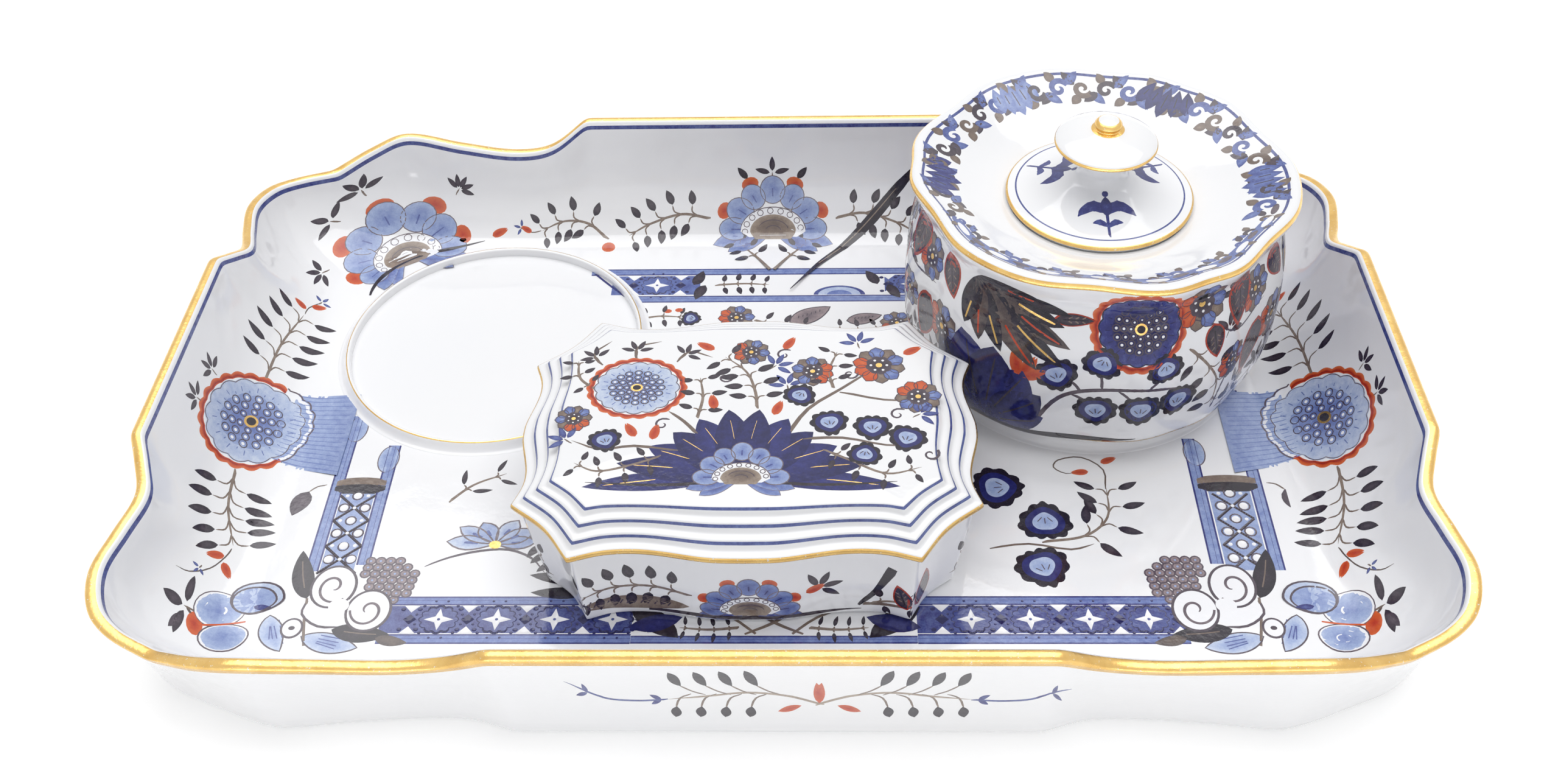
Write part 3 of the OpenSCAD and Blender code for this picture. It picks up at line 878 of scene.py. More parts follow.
def leaf_spray(b, stem, pairs, reach, length, width, start=0.12, stop=0.86, sweep=86):
    """A stem with leaves on arched stalks to both sides, sweep degrees off its heading."""
    p = curve(stem, 0.8)
    stalk(b, p[::2], [1, 0.8, 0.5], 0.45)
    for j in range(pairs):
        share = start + (stop - start) * j / max(pairs - 1, 1)
        grow = 1 - 0.3 * abs(share - 0.4)
        at, heading = on_curve(p, share)
        for side in (1, -1):
            ahead = grow * reach * ray(heading)
            end = at + ahead * ray(50 * side)
            stalk(b, [at, at + 0.6 * ahead * ray(24 * side), end], 0.5, 0.55)
            turn = heading + side * sweep
            leaf(b, end, turn, grow * length, grow * width, shade=0.8, bend=-0.12 * side)


def bud(b, at, turn, size):
    """A tulip bud of three pointed petals."""
    m = b.moved(at, turn)
    for side in (1, -1):
        petal = leaf_shape(size, 0.34 * size, -0.25 * side, 0.7)
        m.moved(0, 16 * side).fill("iron_red", petal, 1 + 0.3 * side, 0.45, 0.7)
    m.fill("iron_red", leaf_shape(0.92 * size, 0.3 * size, 0, 0.75), 2, 0.6, 0.8)


def sprout(b, at, turn, size, leaves, pigment="umber"):
    """Short dark leaves that open out from the end of a stalk."""
    m = b.moved(at, turn)
    stalk(m, [-0.35 * size, 0.1 * size], 0.45)
    for k in range(leaves):
        angle = (k - (leaves - 1) / 2) * 150 / max(leaves - 1, 1)
        leaf(m, 0.12 * size * ray(angle), angle, 0.72 * size, 0.27 * size, pigment, 1, 0.75)


def rosette(b, rx, ry, petals=14, gap=None, ground=0.1, red=1.9, lean=0.0):
    """A round flower in a scalloped red border, which leaves a gap of degrees (from, to) to a
    pale edge. Ground is the shade of its outer petals, and lean slants it as it rises."""
    start, stop = (gap[1], gap[0] + 360) if gap else (0, 360)
    thick = red / min(rx, ry)

    def slanted(z):
        return z + lean * z.imag

    def oval(share, scallops=0, depth=0.0, **part):
        return slanted(scalloped(share * rx, share * ry, scallops, depth, **part))

    def spoke(k, count):
        turn = math.radians(360 * k / count)
        return slanted(rx * math.cos(turn) + 1j * ry * math.sin(turn))

    b.fill("cobalt", oval(0.92 - 0.5 * thick, petals, 0.06), 0.5, ground, ground + 0.3)
    rim = {"count": 170, "start": start, "stop": stop}
    outer, inner = oval(1, 22, 0.055, **rim), oval(1 - thick, 22, 0.02, **rim)
    rows = np.stack([inner, 0.7 * inner + 0.3 * outer, 0.3 * inner + 0.7 * outer, outer], 1)
    b.sheet("iron_red", rows, 1, [0.4, 0.95, 0.45, 0.3], closed=not gap)
    if gap:
        rim = {"count": 60, "start": gap[0] - 3, "stop": gap[1] + 3}
        rows = np.stack([oval(k, 20, 0.04, **rim) for k in (0.9, 0.93, 0.97, 0.99)], 1)
        b.sheet("white_slip", rows, 1.2, 0.8)
        b.line("umber", oval(1, 20, 0.04, **rim), 0.5, 2, 0.4, ends=(1, 1))
    b.line("umber", oval(0.9 - 0.5 * thick, petals, 0.07), 0.3, 1.2, ground + 0.3, closed=True)
    for k in range(2 * petals):
        way = spoke(k + 0.5, 2 * petals)
        tip = 0.84 - 0.12 * (k % 2) - 0.5 * thick
        b.line("cobalt", [0.56 * way, tip * way], 0.3, 1.2, ground + 0.45)
    # the net of ringed dots in the middle
    b.fill("cobalt", oval(0.56, petals - 3, 0.08), 1, ground + 0.25, ground + 0.5)
    for share, count, dot in (
            (0.49, petals, 0.075), (0.34, petals - 4, 0.07), (0.2, petals - 8, 0.06)):
        for k in range(count):
            m = b.moved(share * spoke(k + 0.5 * (count % 2), count))
            m.line("umber", ellipse(dot * rx, dot * ry, 10), 0.34, 3, 0.55, closed=True)
            m.fill("white_slip", ellipse(0.5 * dot * rx, 0.5 * dot * ry, 8), 2, 0.5)
    b.fill("gilding", oval(0.13), 3)
    b.fill("umber", oval(0.09), 4, 0.9)


def half_flower(b, size, caps=4, shade=0.26, finial=True):
    """A flower in half view, opening towards +y: rows of round blue petals, with red caps
    between their tips, over a beaded brown shell and a leafy skirt."""
    for angle in [66, 25, -25, -66] if caps == 4 else np.linspace(74, -74, caps):
        m = b.moved(0, 90 + angle)
        m.moved(0.9 * size).fill("iron_red", ellipse(0.12 * size, 0.15 * size, 14), 0, 0.4, 0.8)
        if finial and abs(angle) < 30:
            leaf(m, size, 14 if angle > 0 else -14, 0.26 * size, 0.12 * size, "umber", 1, 0.85)
    for side in (1, -1):
        for angle, reach, width in ((112, 0.86, 0.3), (97, 1.04, 0.34)):
            skirt = leaf_shape(reach * size, width * size, 0.12 * side, 1.3, 12)
            b.moved(0, 90 + side * angle).edged(
                "cobalt", skirt, (0, shade + 0.12, shade + 0.4), (0.26, 1, 0.3))
    for k, (angle, away, long, wide) in enumerate((
            (86, 0.66, 0.26, 0.2), (-86, 0.66, 0.26, 0.2), (57, 0.66, 0.24, 0.22),
            (-57, 0.66, 0.24, 0.22), (29, 0.68, 0.22, 0.2), (-29, 0.68, 0.22, 0.2),
            (0, 0.72, 0.24, 0.21))):
        m = b.moved(away * size * ray(90 + angle), 90 + angle)
        look = (0.6 + 0.12 * k, shade, shade + 0.22)
        m.edged("cobalt", ellipse(long * size, wide * size, 20), look, (0.28, 1.5, 0.35))
        m.line("cobalt", [-0.8 * long * size, 0.5 * long * size], 0.4, 2, shade + 0.4)
    arch = size * np.exp(1j * np.linspace(0, math.pi, 18))
    shell = arch.real + 0.75j * arch.imag
    b.fill("white_slip", [*(0.56 * shell), (-0.4 - 0.1j) * size, (0.4 - 0.1j) * size], 2, 0.6, 1)
    b.line("umber", 0.56 * shell, 0.3, 3, 0.4)
    for at in 0.48 * shell[1::2]:
        b.moved(at).line("umber", ellipse(0.05 * size, 0.05 * size, 8), 0.28, 3, 0.4, closed=True)
    b.fill(
        "stem_brown", [*(0.4 * shell), (-0.3 - 0.14j) * size, (0.3 - 0.14j) * size], 3, 0.3, 0.75)
    for k in (0.14, 0.27):
        b.line("umber", k * shell[1:-1:2], 0.28, 4, 0.5)
    if finial:
        sprout(b, 1j * size, 90, 0.36 * size, 3)


def heart_leaf(b, at, turn, size, lobes=11):
    """A rounded heart-shaped leaf: dark scalloped edge, pale middle with veins."""
    m = b.moved(at, turn)
    t = np.linspace(0, 2 * math.pi, 60, endpoint=False)
    heart = 16 * np.sin(t) ** 3 + 1j * (
        13 * np.cos(t) - 5 * np.cos(2 * t) - 2 * np.cos(3 * t) - np.cos(4 * t))
    body = 0.3 * (size / 32 * heart) + 0.37 * size * np.exp(1j * (math.pi / 2 - t))
    m.fill("umber", body * (1 + 0.16 * np.abs(np.sin(0.5 * lobes * t))), 1, 0.9, 0.75)
    m.fill("cobalt", 0.84 * body, 1.4, 0.88)
    m.fill("cobalt", 0.54 * body, 2, 0.16, 0.34)
    for vein in (90, 50, 130):
        m.line("umber", [-0.2j * size, -0.2j * size + 0.34 * size * ray(vein)], 0.3, 3, 0.5)


def bract(b, at, turn, length, width, layer=2.0):
    """A broad dark leaf with a red edge, brown in the middle."""
    m = b.moved(at, turn)
    outline = leaf_shape(length, width, 0, 0.75, 12)
    m.fill("iron_red", outline, layer, 0.85)
    m.moved(0.05 * length).fill("umber", 0.88 * outline, layer + 0.3, 0.8, 0.45)
    m.line("umber", [0.1 * length, 0.5 * length, 0.92 * length], 0.5, layer + 0.7, 0.9)
    for k in (0.3, 0.45, 0.6):
        for side in (1, -1):
            stalk(
                m, [k * length, (k + 0.18) * length + 0.32j * side * width], 0.4, 0.5, layer + 0.7)


def aster(b, at, size, turn):
    """A small brown and blue flower with red outer petals."""
    m = b.moved(at, turn)
    for k in range(10):
        tint = "iron_red" if 2 < k < 6 else ("stem_brown", "cobalt")[k % 2]
        outline = leaf_shape(0.78 * size, 0.6 * size, 0, 1.4)
        m.moved(0.22 * size * ray(36 * k), 36 * k).edged(
            tint, outline, (k % 2, 0.6, 0.4), (0.24, k % 2 + 1.2, 0.6))
    m.fill("umber", scalloped(0.5 * size, 0.5 * size, 8, 0.12), 2, 0.5, 0.8)
    for k in range(6):
        m.moved(0.3 * size * ray(60 * k)).fill(
            "white_slip", ellipse(0.07 * size, 0.07 * size, 8), 3, 0.6)
    m.fill("gilding", ellipse(0.14 * size, 0.14 * size, 10), 3)


def fan(b, near, far):
    """A striped fan between two edges, each given by its two ends."""
    (a, c), (d, e) = near, far
    k = np.linspace(0, 1, 20)[:, None]
    t = np.linspace(0, 1, 9)[None, :]
    b.sheet(
        "cobalt", (1 - k) * ((1 - t) * a + t * c) + k * ((1 - t) * d + t * e), 0, 0.24 + 0.12 * k)
    for t in np.linspace(0.04, 0.96, 17):
        top, foot = (1 - t) * a + t * c, (1 - t) * d + t * e
        bow = 0.25 * math.sin(9 * t)
        b.line("cobalt", [top, (top + foot) / 2 + bow, foot], 0.34, 1.1, 0.46, ends=(0.3, 1))


def ring_line(painting, ware, row, pigment, width, shade, columns=3, v=0.0):
    """A line right round a ware on one of its rings, or at a distance v across from it."""
    chart = ware.chart(row, row)
    across = v + width * np.linspace(-0.5, 0.5, columns)
    Brush(painting, chart).sheet(
        pigment, chart.columns[:, None] + 1j * across, 1, shade, closed=True)


# --- The tray's painting ---------------------------------------------------------------------


def flat_chart(z, middle=(0, 0)):
    """A flat place on a ware, seen from above."""
    def at(w):
        return (
            np.column_stack([w.real + middle[0], w.imag + middle[1], np.full(len(w), z)]),
            np.tile([0.0, 0, 1], (len(w), 1)))

    return at


tray_paint = Painting("tray", "tray_porcelain")
FLOOR_ROW, LIP_ROW, SEAT_ROW = 3, 32, 15    # rings at the floor's edge, on the lip, on a seat
wall = tray.chart(FLOOR_ROW, FLOOR_ROW)
on_wall = Brush(tray_paint, wall)
on_floor = Brush(tray_paint, flat_chart(FLOOR_H), FLAT_GAP)
# Distances round the wall, from the middle of the back by the right: all of it, and the places
# of the left side's rosette and of the flowers in the left corners, front and back
ROUND = wall.round
LEFT_U, CORNER_U, BACK_CORNER_U = 585.7, 524.4, 674.1
# Up the inside and over the lip, to the sprays on the outside of the long sides and the ends
LONG_SIDE_V, END_V = 62.4j, 55j


def both_sides(u, v=0j):
    """Brushes for the same mark on the left and on the right of the wall."""
    return on_wall.moved(u + v), on_wall.moved(ROUND - u + v, 180, mirror=True)


def paint_rim():
    ring_line(tray_paint, tray, LIP_ROW, "gilding", 5.5, 0.5, 15, 1.8)
    ring_line(tray_paint, tray, LIP_ROW, "cobalt", 1.35, 0.7, 5, -2.75)
    for seat in seats:
        ring_line(tray_paint, seat, SEAT_ROW, "gilding", 0.6, 0.2)


def paint_side(b):
    """The rosette with its fan and its two sprays; the origin is the rosette's middle and the
    floor lies towards -y."""
    fan(b, (-8 - 8j, 17.4 - 9j), (-12 - 26j, 17.8 - 26j))
    rosette(b.moved(1), 16.4, 15.6, gap=(226, 334), lean=-0.27)
    for base, tip, bow in ((16 + 0.4j, 46 - 3.4j, 1.2j), (-15.4 - 0.6j, -38 - 6.4j, 1.6j)):
        leaf_spray(b, [base, (base + tip) / 2 + bow, tip], 5, 5.8, 7.4, 2.6)
    stalk(b, [46 - 3.4j, 49.5 - 4j, 54 - 6.8j], 0.4, 0.8)
    strew(b, bud, (48.4 - 3.4j, 70, 4.4), (50.4 - 4.6j, -62, 4.4))
    sprout(b, 54 - 6.8j, -30, 3.6, 3, "cobalt")
    stalk(b, [-38.6 - 6.4j, -42 - 5.4j, -46.4 - 3j, -49.6 + 1.4j, -50 + 5j], [0.45, 0.4, 0.3], 0.8)
    strew(b, bud, (-41.6 - 5.2j, 110, 4.6), (-43.4 - 5.4j, 215, 4.6))
    strew(
        b, sprout, (-47.4 - 0.6j, 150, 2.6, 3, "cobalt"), (6.4 + 15.6j, 80, 5.8, 4),
        (-5 + 16.6j, 100, 5.8, 4))


def paint_front_corner(b):
    """The flower in a front corner, on the wall; the origin lies on the floor's edge."""
    b.moved(1.8 + 9.6j).fill("iron_red", ellipse(2.6, 1.9, 14), 0, 0.4, 0.8)
    for k, (at, rx, ry) in enumerate(((5.4 + 4j, 4.1, 5.4), (-2 + 3.8j, 3.4, 5.2))):
        m = b.moved(at)
        m.edged("white_slip", 1.08 * ellipse(rx, ry), (0.5 + k, 0.8), (0.4, 1 + k, 0.4))
        m.fill("cobalt", ellipse(rx, ry), 1 + k, 0.2, 0.44)
    b.line("iron_red", [1.5 - 2j, 1.7 + 4j, 1.6 + 9j], 0.5, 3, 0.5)
    m = b.moved(9 - 4.2j)
    for k, shade in ((1, 0.1), (0.84, 0.3)):
        m.moved((1 - k) * (-4 + 4j)).edged(
            "cobalt", k * ellipse(5.2, 6.2), (2.4 - 0.6 * k, shade, shade + 0.12), (0.6, 3, 0.5))
    leaf(b, 6.4 - 3.4j, -110, 5, 2.2, "cobalt", 3, 0.85)
    sprout(b, 5 + 11.6j, 75, 7.6, 3)
    leaf(b, 3.4 + 12.4j, 130, 4.4, 1.9)
    stalk(b, [3.4 + 9.8j, 5 + 11.6j], 0.6, 0.8)


# The two scrolls of a corner: middle, half sizes, where its coil starts, and its turns


SCROLLS = ((-106.3 - 51.8j, 5.3 + 6.3j, -35, -1.15), (-96.5 - 59j, 5.2 + 6j, 170, 1.15))


def paint_scrolls(b):
    """White scrolls over the corner of the frame, with dark leaves, a feather and a patch of
    scales."""
    for row in range(7):
        for k in range(7):
            at = -101.4 + 2.4 * (k + 0.5 * (row % 2)) - 43.8j - 2j * row + 0.9 * row
            if min(abs(at - middle) for middle, *_ in SCROLLS) < 5 or abs(at + 95.3 + 50j) > 8.4:
                continue
            m = b.moved(at)
            m.fill("umber", ellipse(1.35, 1.3, 12), 0.4 + 0.2 * (k % 2) + 0.1 * row, 0, 0.35)
            m.line("umber", ellipse(1.15, 1.15, 12), 0.45, 2.2, 0.45, closed=True)
            m.fill("cobalt", ellipse(0.4, 0.4, 8), 2, 0.3)
    b.moved(-106 - 59j).fill("white_slip", ellipse(6.2, 4.6), 3.2, 0.5)
    b.line("umber", [-111.6 - 56j, -112 - 60j, -107.5 - 63.6j, -101.6 - 63.8j], 0.7, 3.8, 0.5)
    for k, (middle, size, start, turns) in enumerate(SCROLLS):
        m = b.moved(middle)
        m.edged(
            "white_slip", ellipse(size.real, size.imag, 36), (3.4 + k, 0.5), (0.75, 3.8 + k, 0.55))
        coil = spiral(1, turns, start)
        m.line(
            "umber", 0.86 * (size.real * coil.real + 1j * size.imag * coil.imag), [0.7, 0.9, 0.7],
            4 + k, 0.4)
    b.moved(-103.8 - 57.6j).fill("white_slip", ellipse(2.6, 2.2, 16), 5.4, 0.5)
    stalk(b, [-111.9 - 55j, -111 - 62j, -109.4 - 69.5j], 0.7, 0.6, 3, (1, 1))
    m = b.moved(-113.4 - 64.2j)
    m.edged("white_slip", ellipse(2.4, 2.7), (4, 0.5), (0.6, 5, 0.5))
    m.fill("umber", ellipse(0.9, 0.7, 12), 5, 0.6)
    for at, turn, length, bend in ((-112 - 55.4j, 113, 15.5, -0.12), (-104 - 64.6j, -13, 14, 0.12)):
        m = b.moved(at, turn)
        m.fill("umber", leaf_shape(length, 5.4, bend, 0.8, 16), 3, 0.92, 0.75)
        vein = [0.1 * length, 0.5 * length * (1 + bend * 0.5j), 0.9 * length * (1 + 0.9j * bend)]
        stalk(m, vein, 0.4, 0.6, 3.4)
    b.moved(-93.4 - 67j, -16).fill("stem_brown", leaf_shape(8, 3, 0.1, 0.8, 12), 3.3, 0.9, 0.7)
    for at, turn, length, width, bend in (
            (-119.4 - 60.4j, -82, 11, 5.6, 0.3), (-110.6 - 66.6j, -20, 14, 5.6, 0.12)):
        m = b.moved(at, turn)
        m.edged("cobalt", leaf_shape(length, width, bend, 0.9, 14), (1, 0.1, 0.4), (0.4, 2, 0.5))
        for k in np.linspace(-0.3, 0.3, 4):
            start = (0.12 + 1.2j * abs(k) * bend) * length + 0.6j * k * width
            end = (0.84 + 0.7j * bend) * length + 1j * k * width
            m.line("cobalt", [start, end], 0.35, 2, 0.65)


def strip(a, c, width, columns):
    """Rows for a straight strip from a to c."""
    ahead = (c - a) / abs(c - a)
    rows = np.array([a, a + 0.1 * ahead, c - 0.1 * ahead, c])
    return rows[:, None] + 1j * ahead * width * np.linspace(-0.5, 0.5, columns)


def stripe(b, a, c, width, shade=0.4):
    """A blue stripe with fine dark edges, from a to c."""
    side = 1j * (c - a) / abs(c - a)
    b.sheet("cobalt", strip(a, c, width, 5), 0.6, shade)
    for offset, weight in ((-0.5, 0.55), (0.06, 0.4), (0.5, 0.55)):
        b.sheet("cobalt", strip(a, c, weight, 3) + side * offset * width, 1.4, 0.8)


def ground(b, a, c, width, shade):
    """A plain band of blue ground from a to c."""
    b.sheet("cobalt", strip(a, c, width, 5), 0, shade)


# The frame on the floor. Of a side: inner and outer edge, and where each ends at the back.
LEFT_BAND = (-99.4, -114.2, -4.5, 6.5)
RIGHT_BAND = (102.6, 119.6, -3, 15)
BAND_END, RIBBON = -47, -21
FRONT_BAND, BACK_BAND = -61.6j, 60j
STAR_PITCH, LATTICE_PITCH, LATTICE_TOP = 13.6, 8.4, -26.4j


def paint_side_band(b, inner, outer, top_inner, top_outer):
    """A side of the frame on the floor: two stripes, a dark ribbon, and the lattice's ground."""
    out = np.sign(outer)
    stripe(b, outer - 1.4 * out + 1j * top_outer, outer - 1.4 * out + 1j * BAND_END, 2.8)
    stripe(b, inner + 1.4 * out + 1j * top_inner, inner + 1.4 * out + 1j * (BAND_END + 2), 2.8)
    middle, width = (inner + outer) / 2, abs(outer - inner) - 5.6
    ground(b, middle + 1j * RIBBON, middle + 1j * BAND_END, width, 0.32)
    x = np.linspace(-0.5, 0.5, 13)
    ribbon = middle + x * (width + 5) - 1j * (17 + 4 * x**2)
    b.sheet("stem_brown", ribbon[:, None] + 1j * np.linspace(1.2, -1.6, 5), 2, 0.5)
    fall = 0.8 + np.linspace(0, 4.4, 5) * (1 - 2.4 * x[:, None] ** 2)
    b.sheet("umber", ribbon[:, None] - 1j * fall, 2.6, 0.88)
    for side, top in ((1, top_outer), (-1, top_inner)):
        m = b.moved(middle + side * out * (0.5 * width + 0.6) + 1j * (top - 5))
        m.edged("cobalt", ellipse(2.6, 4.6), (0.4, 0.2, 0.4), (0.5, 1, 0.35))
    m = b.moved(out * (abs(outer) + 1.2) - 18.5j)
    stalk(m, [0, out * 2.4 - 0.6j, out * 4.4 - 2.6j], [0.4, 0.55])
    leaf(m, out * 4.2 - 2.2j, -90 + 22 * out, 8.6, 5, bend=-0.1 * out)


def paint_frame():
    b = on_floor
    paint_side_band(b, *LEFT_BAND)
    paint_side_band(b, *RIGHT_BAND)
    for start, stop in ((-93, -34), (32, 94)):
        ground(b, start + FRONT_BAND, stop + FRONT_BAND, 9, 0.72)
        stripe(b, start - 56.1j, stop - 56.1j, 2.2, 0.5)
        stripe(b, start - 67.3j, stop - 67.3j, 2.4, 0.5)
    stripe(b, -34 - 67.5j, 32 - 67.5j, 1.8, 0.5)
    for m in b.mirrored():
        paint_scrolls(m)
    # the reserve in the middle of the front
    for m in b.mirrored(-1):
        leaf(m, 34 - 58j, -150, 15, 6, "umber", 2, 0.85, 0.12, 1)
        leaf(m, 34 - 64j, 172, 13, 5, "cobalt", 2.4, 0.95, -0.1, 1)
        stalk(m, [4 - 66j, 10 - 61j, 19 - 57j], 0.7, 0.5, 2)
        leaf_spray(m, [8 - 64j, 15 - 64.6j, 22 - 64j], 4, 1.2, 3.2, 1.1)
        stalk(m, [-7 - 66j, 0 - 62.5j, 7 - 57j], [0.6, 0.9, 0.6], 0.5, 2)
    # the back of the frame
    ground(b, -50.5 + BACK_BAND, -25 + BACK_BAND, 9.4, 0.6)
    ground(b, 28 + BACK_BAND, 60 + BACK_BAND, 9.4, 0.62)
    stripe(b, -57 + 66j, 60 + 66j, 2.4, 0.45)
    stripe(b, -45 + 53.8j, 60 + 53.8j, 2.4, 0.45)
    b.line("cobalt", [-57 + 66.6j, -50.5 + 59.4j, -44.6 + 53.4j], 0.7, 2, 0.8, ends=(1, 1))
    for at, turn in ((-27, 60), (-23.5, 240), (26, 110), (29, 290)):
        leaf(b, at + BACK_BAND, turn, 7, 3.4, "umber", 2, 0.8, 0.15)
    leaf_spray(b, [-21 + 60j, -12 + 60.6j, -5 + 60j], 4, 1.7, 3.6, 1.7)
    arch = 7.4 * np.exp(1j * np.linspace(0, math.pi, 16))
    for k, shade in ((1, 0.7), (0.84, 0.15), (0.5, 0.5)):
        b.moved(15 + 55.4j).fill("cobalt", k * (arch.real + 0.55j * arch.imag), 2 - k, shade)


def paint_sprigs():
    """Small marks on the open floor."""
    b = on_floor
    leaf_spray(b, [63 - 38j, 74 - 36j, 80 - 30j, 81 - 20j], 4, 4.4, 6.6, 2.5, 0.35, 0.9, 70)
    stalk(
        b, [80.6 - 21j, 81 - 14j, 76 - 9.6j, 70 - 10.5j, 68.6 - 13j, 71.5 - 15.2j, 75 - 14.4j],
        [0.5, 0.5, 0.35], 0.7)
    strew(b, bud, (80.6 - 11.6j, 25, 4.4), (77.2 - 14.6j, 185, 4.4))
    stalk(b, [50 - 40j, 60 - 38.6j, 70 - 40.4j, 76 - 38.6j], 0.7)
    strew(b, heart_leaf, (64.6 - 31.6j, 180, 11.5), (62.6 - 45.6j, 20, 11.5), (53.6 - 20j, 95, 12))
    leaf_spray(b, [-42 + 45j, -36 + 46.4j, -29 + 46j], 3, 1.9, 3.4, 1.5)
    for at in (-33.6 + 48.6j, -30.4 + 49j):
        b.moved(at).fill("iron_red", ellipse(1.2, 0.9, 10), 1, 0.4, 0.7)
    heart_leaf(b, -27 + 45.4j, 80, 5.4)
    strew(b, aster, (-14 + 45.6j, 5.2, 40), (31 + 43j, 4.8, 100))
    strew(
        b, leaf_spray, ([-9 + 44.6j, -2 + 42j, 6 + 41j], 3, 2.2, 4, 1.8),
        ([28 + 41.6j, 22 + 40j, 14 + 40.6j], 3, 2, 3.6, 1.6))
    for at, turn, length, width in ((1 + 43.6j, 24, 13, 6), (17 + 44j, 8, 10, 4.4)):
        m = b.moved(at, turn)
        m.edged("umber", leaf_shape(length, width, 0.1, 0.8, 12), (1, 0.12, 0.4), (0.4, 2, 0.6))
        for k in range(6):
            vein = [(0.2 + 0.1 * k) * length, (0.28 + 0.1 * k) * length + 0.3j * width]
            m.line("umber", vein, 0.35, 2, 0.6)
    leaf_spray(b, [-83.6 - 24.6j, -78 - 18.6j, -70 - 14.6j], 2, 2.2, 5.4, 1.5, 0.3, 0.8, 50)
    b.line(
        "umber", [-86 - 45.6j, -80 - 42.6j, -73 - 40.6j, -66 - 40.2j, -60 - 43j, -56 - 48j],
        [0.5, 0.9, 0.9, 0.5], 1, 0.5)
    for k, (turn, length, width) in enumerate((
            (176, 12, 4.6), (150, 11, 4.4), (120, 8, 5), (58, 9, 5), (26, 10, 4.6), (4, 10, 4))):
        m = b.moved(-69.6 - 38.4j, turn)
        m.edged(
            "cobalt", leaf_shape(length, width, 0, 1.25),
            (0.5 + 0.2 * k, 0.06 + 0.1 * (k % 3), 0.3), (0.5, 2, 0.35))
        m.line("cobalt", [0.25 * length, 0.75 * length], 0.9, 2, 0.62)
    b.moved(-69.6 - 38.6j).fill("gilding", ellipse(1.6, 1.3, 12), 3)
    leaf_spray(b, [-62 - 32j, -57 - 37j, -53 - 44j], 4, 3, 5, 2.2)
    strew(
        b, leaf, (-47 - 50j, 172, 13, 3.6, "umber", 1, 0.85),
        (-46 - 54j, 178, 13, 3.6, "umber", 1, 0.95))


def paint_back():
    """The back wall's half flower and sprays."""
    m = on_wall.moved(ROUND - 4.5 + 3.6j)
    half_flower(m, 17.4)
    for side in (1, -1):
        leaf_spray(
            m, [0.6 * side - 16j, 4.6 * side - 10j, 9.4 * side - 4j], 3, 2.4, 4.4, 2, 0.5, 1, 80)
        leaf_spray(
            m, [18.4 * side + 4j, 27 * side + 5.4j, 37 * side + 2.4j, 43 * side - 1j], 5, 4, 4.8,
            2.5, 0.15, 0.9, 80)
        n = on_wall.moved(ROUND - 4.5 + side * 52 + 5j, 90 + 90 * side, mirror=side > 0)
        leaf_spray(
            n, [3 - 3.6j, -3 + 1.4j, -10 + 2.2j, -17 - 0.6j], 4, 3.6, 4.6, 2.3, 0.25, 0.9, 80)
        n.moved(3.2 - 6.4j).fill("iron_red", ellipse(2, 1.9, 14), 1, 0.4, 0.75)
        bud(n, -20 - 1j, 150, 3.6)
        stalk(n, [-17 - 0.6j, -20 - 1j, -24 + 0.6j], 0.4)
        sprout(n, -23 + 0.4j, 165, 3, 3, "cobalt")
    b = on_wall.moved(ROUND)
    b.line(
        "umber", [1 - 22j, 9 - 10j, 17 - 1j, 25 + 7.5j, 33 + 17j, 46 + 32j],
        [0.5, 1.5, 2.6, 3.4, 3, 0.8], 3, 0.85, (0.5, 0.3))
    stalk(b, [8 - 11j, 17 - 0.6j, 25 + 8j, 33 + 17.4j], 0.4, 0.4, 4)


def paint_back_corner(b):
    """The flower in a back corner, opening up the wall."""
    half_flower(b.moved(-3 - 3.4j, 6), 20.5, caps=5, shade=0.24, finial=False)
    strew(
        b, sprout, (13.5 + 17j, 55, 5.8, 5), (-7 + 21.5j, 100, 5.8, 4), (-24 + 8.5j, 150, 5.8, 4),
        (-14 + 18j, 130, 5.8, 3))
    b.line(
        "umber", [-28 - 7.5j, -15 - 6.4j, -3 - 5j, 9 - 2j, 21 + 1.5j], [0.6, 1.7, 0.7, 1.5, 0.7], 4,
        0.85)
    bud(b, 23 + 3j, 25, 5)


def paint_long_spray(b):
    """The spray on the outside of a long side, drawn tall, as the wall leans in below."""

    def tall(places):
        z = np.asarray(places)
        return 1.12 * z.real + 1j * (2.2 * z.imag - 0.8)

    for m in b.mirrored():
        stalk(
            m, tall([-1 - 0.4j, 6 + 1.7j, 13.5 + 2.5j, 21.5 + 1.6j, 29 + 0.9j]), [1, 1.2, 0.7],
            0.25)
        for j in range(4):
            x = 4.8 * j
            stalk(m, tall([x + 7 + 1.9j, x + 9.6 + 2.9j, x + 12 + 4.5j]), 0.6, 0.5)
            stalk(m, tall([x + 9.6 + 2.2j, x + 12 + 1.2j, x + 13.2 - 1.2j]), 0.6, 0.5)
            upper = x + 11.4 + 4.1j + ray(56) * leaf_shape(4.5 - 0.2 * j, 2, 0.06, 1.1)
            lower = x + 12.9 - 0.7j + ray(-76) * leaf_shape(2.5, 2.1, 0, 1.1)
            m.fill("umber", tall(upper), 1.5, 0.98, 0.85)
            m.fill("umber", tall(lower), 1.5, 0.9, 0.75)
        m.line(
            "cobalt", tall([28.6 + 0.9j, 35 + 0.6j, 41 + 1.3j, 47.6 + 5.4j]), [0.9, 1, 0.7], 1, 0.7)
        for at, turn in ((30 + 0.9j, 25), (30 + 0.9j, -28), (43.8 + 2.4j, -15), (43.8 + 2.4j, 78)):
            m.fill("cobalt", tall(at + ray(turn) * leaf_shape(2.4, 0.9)), 1.5, 0.75)
        m.fill("iron_red", tall(3.4 - 0.5j + ray(-16) * leaf_shape(4.8, 1.3, 0, 1)), 1.5, 0.5, 0.8)
    for bend in (-0.1, 0.1):
        b.fill("iron_red", tall(1j * leaf_shape(5, 2, bend, 0.8)), 1.5, 0.5, 0.8)


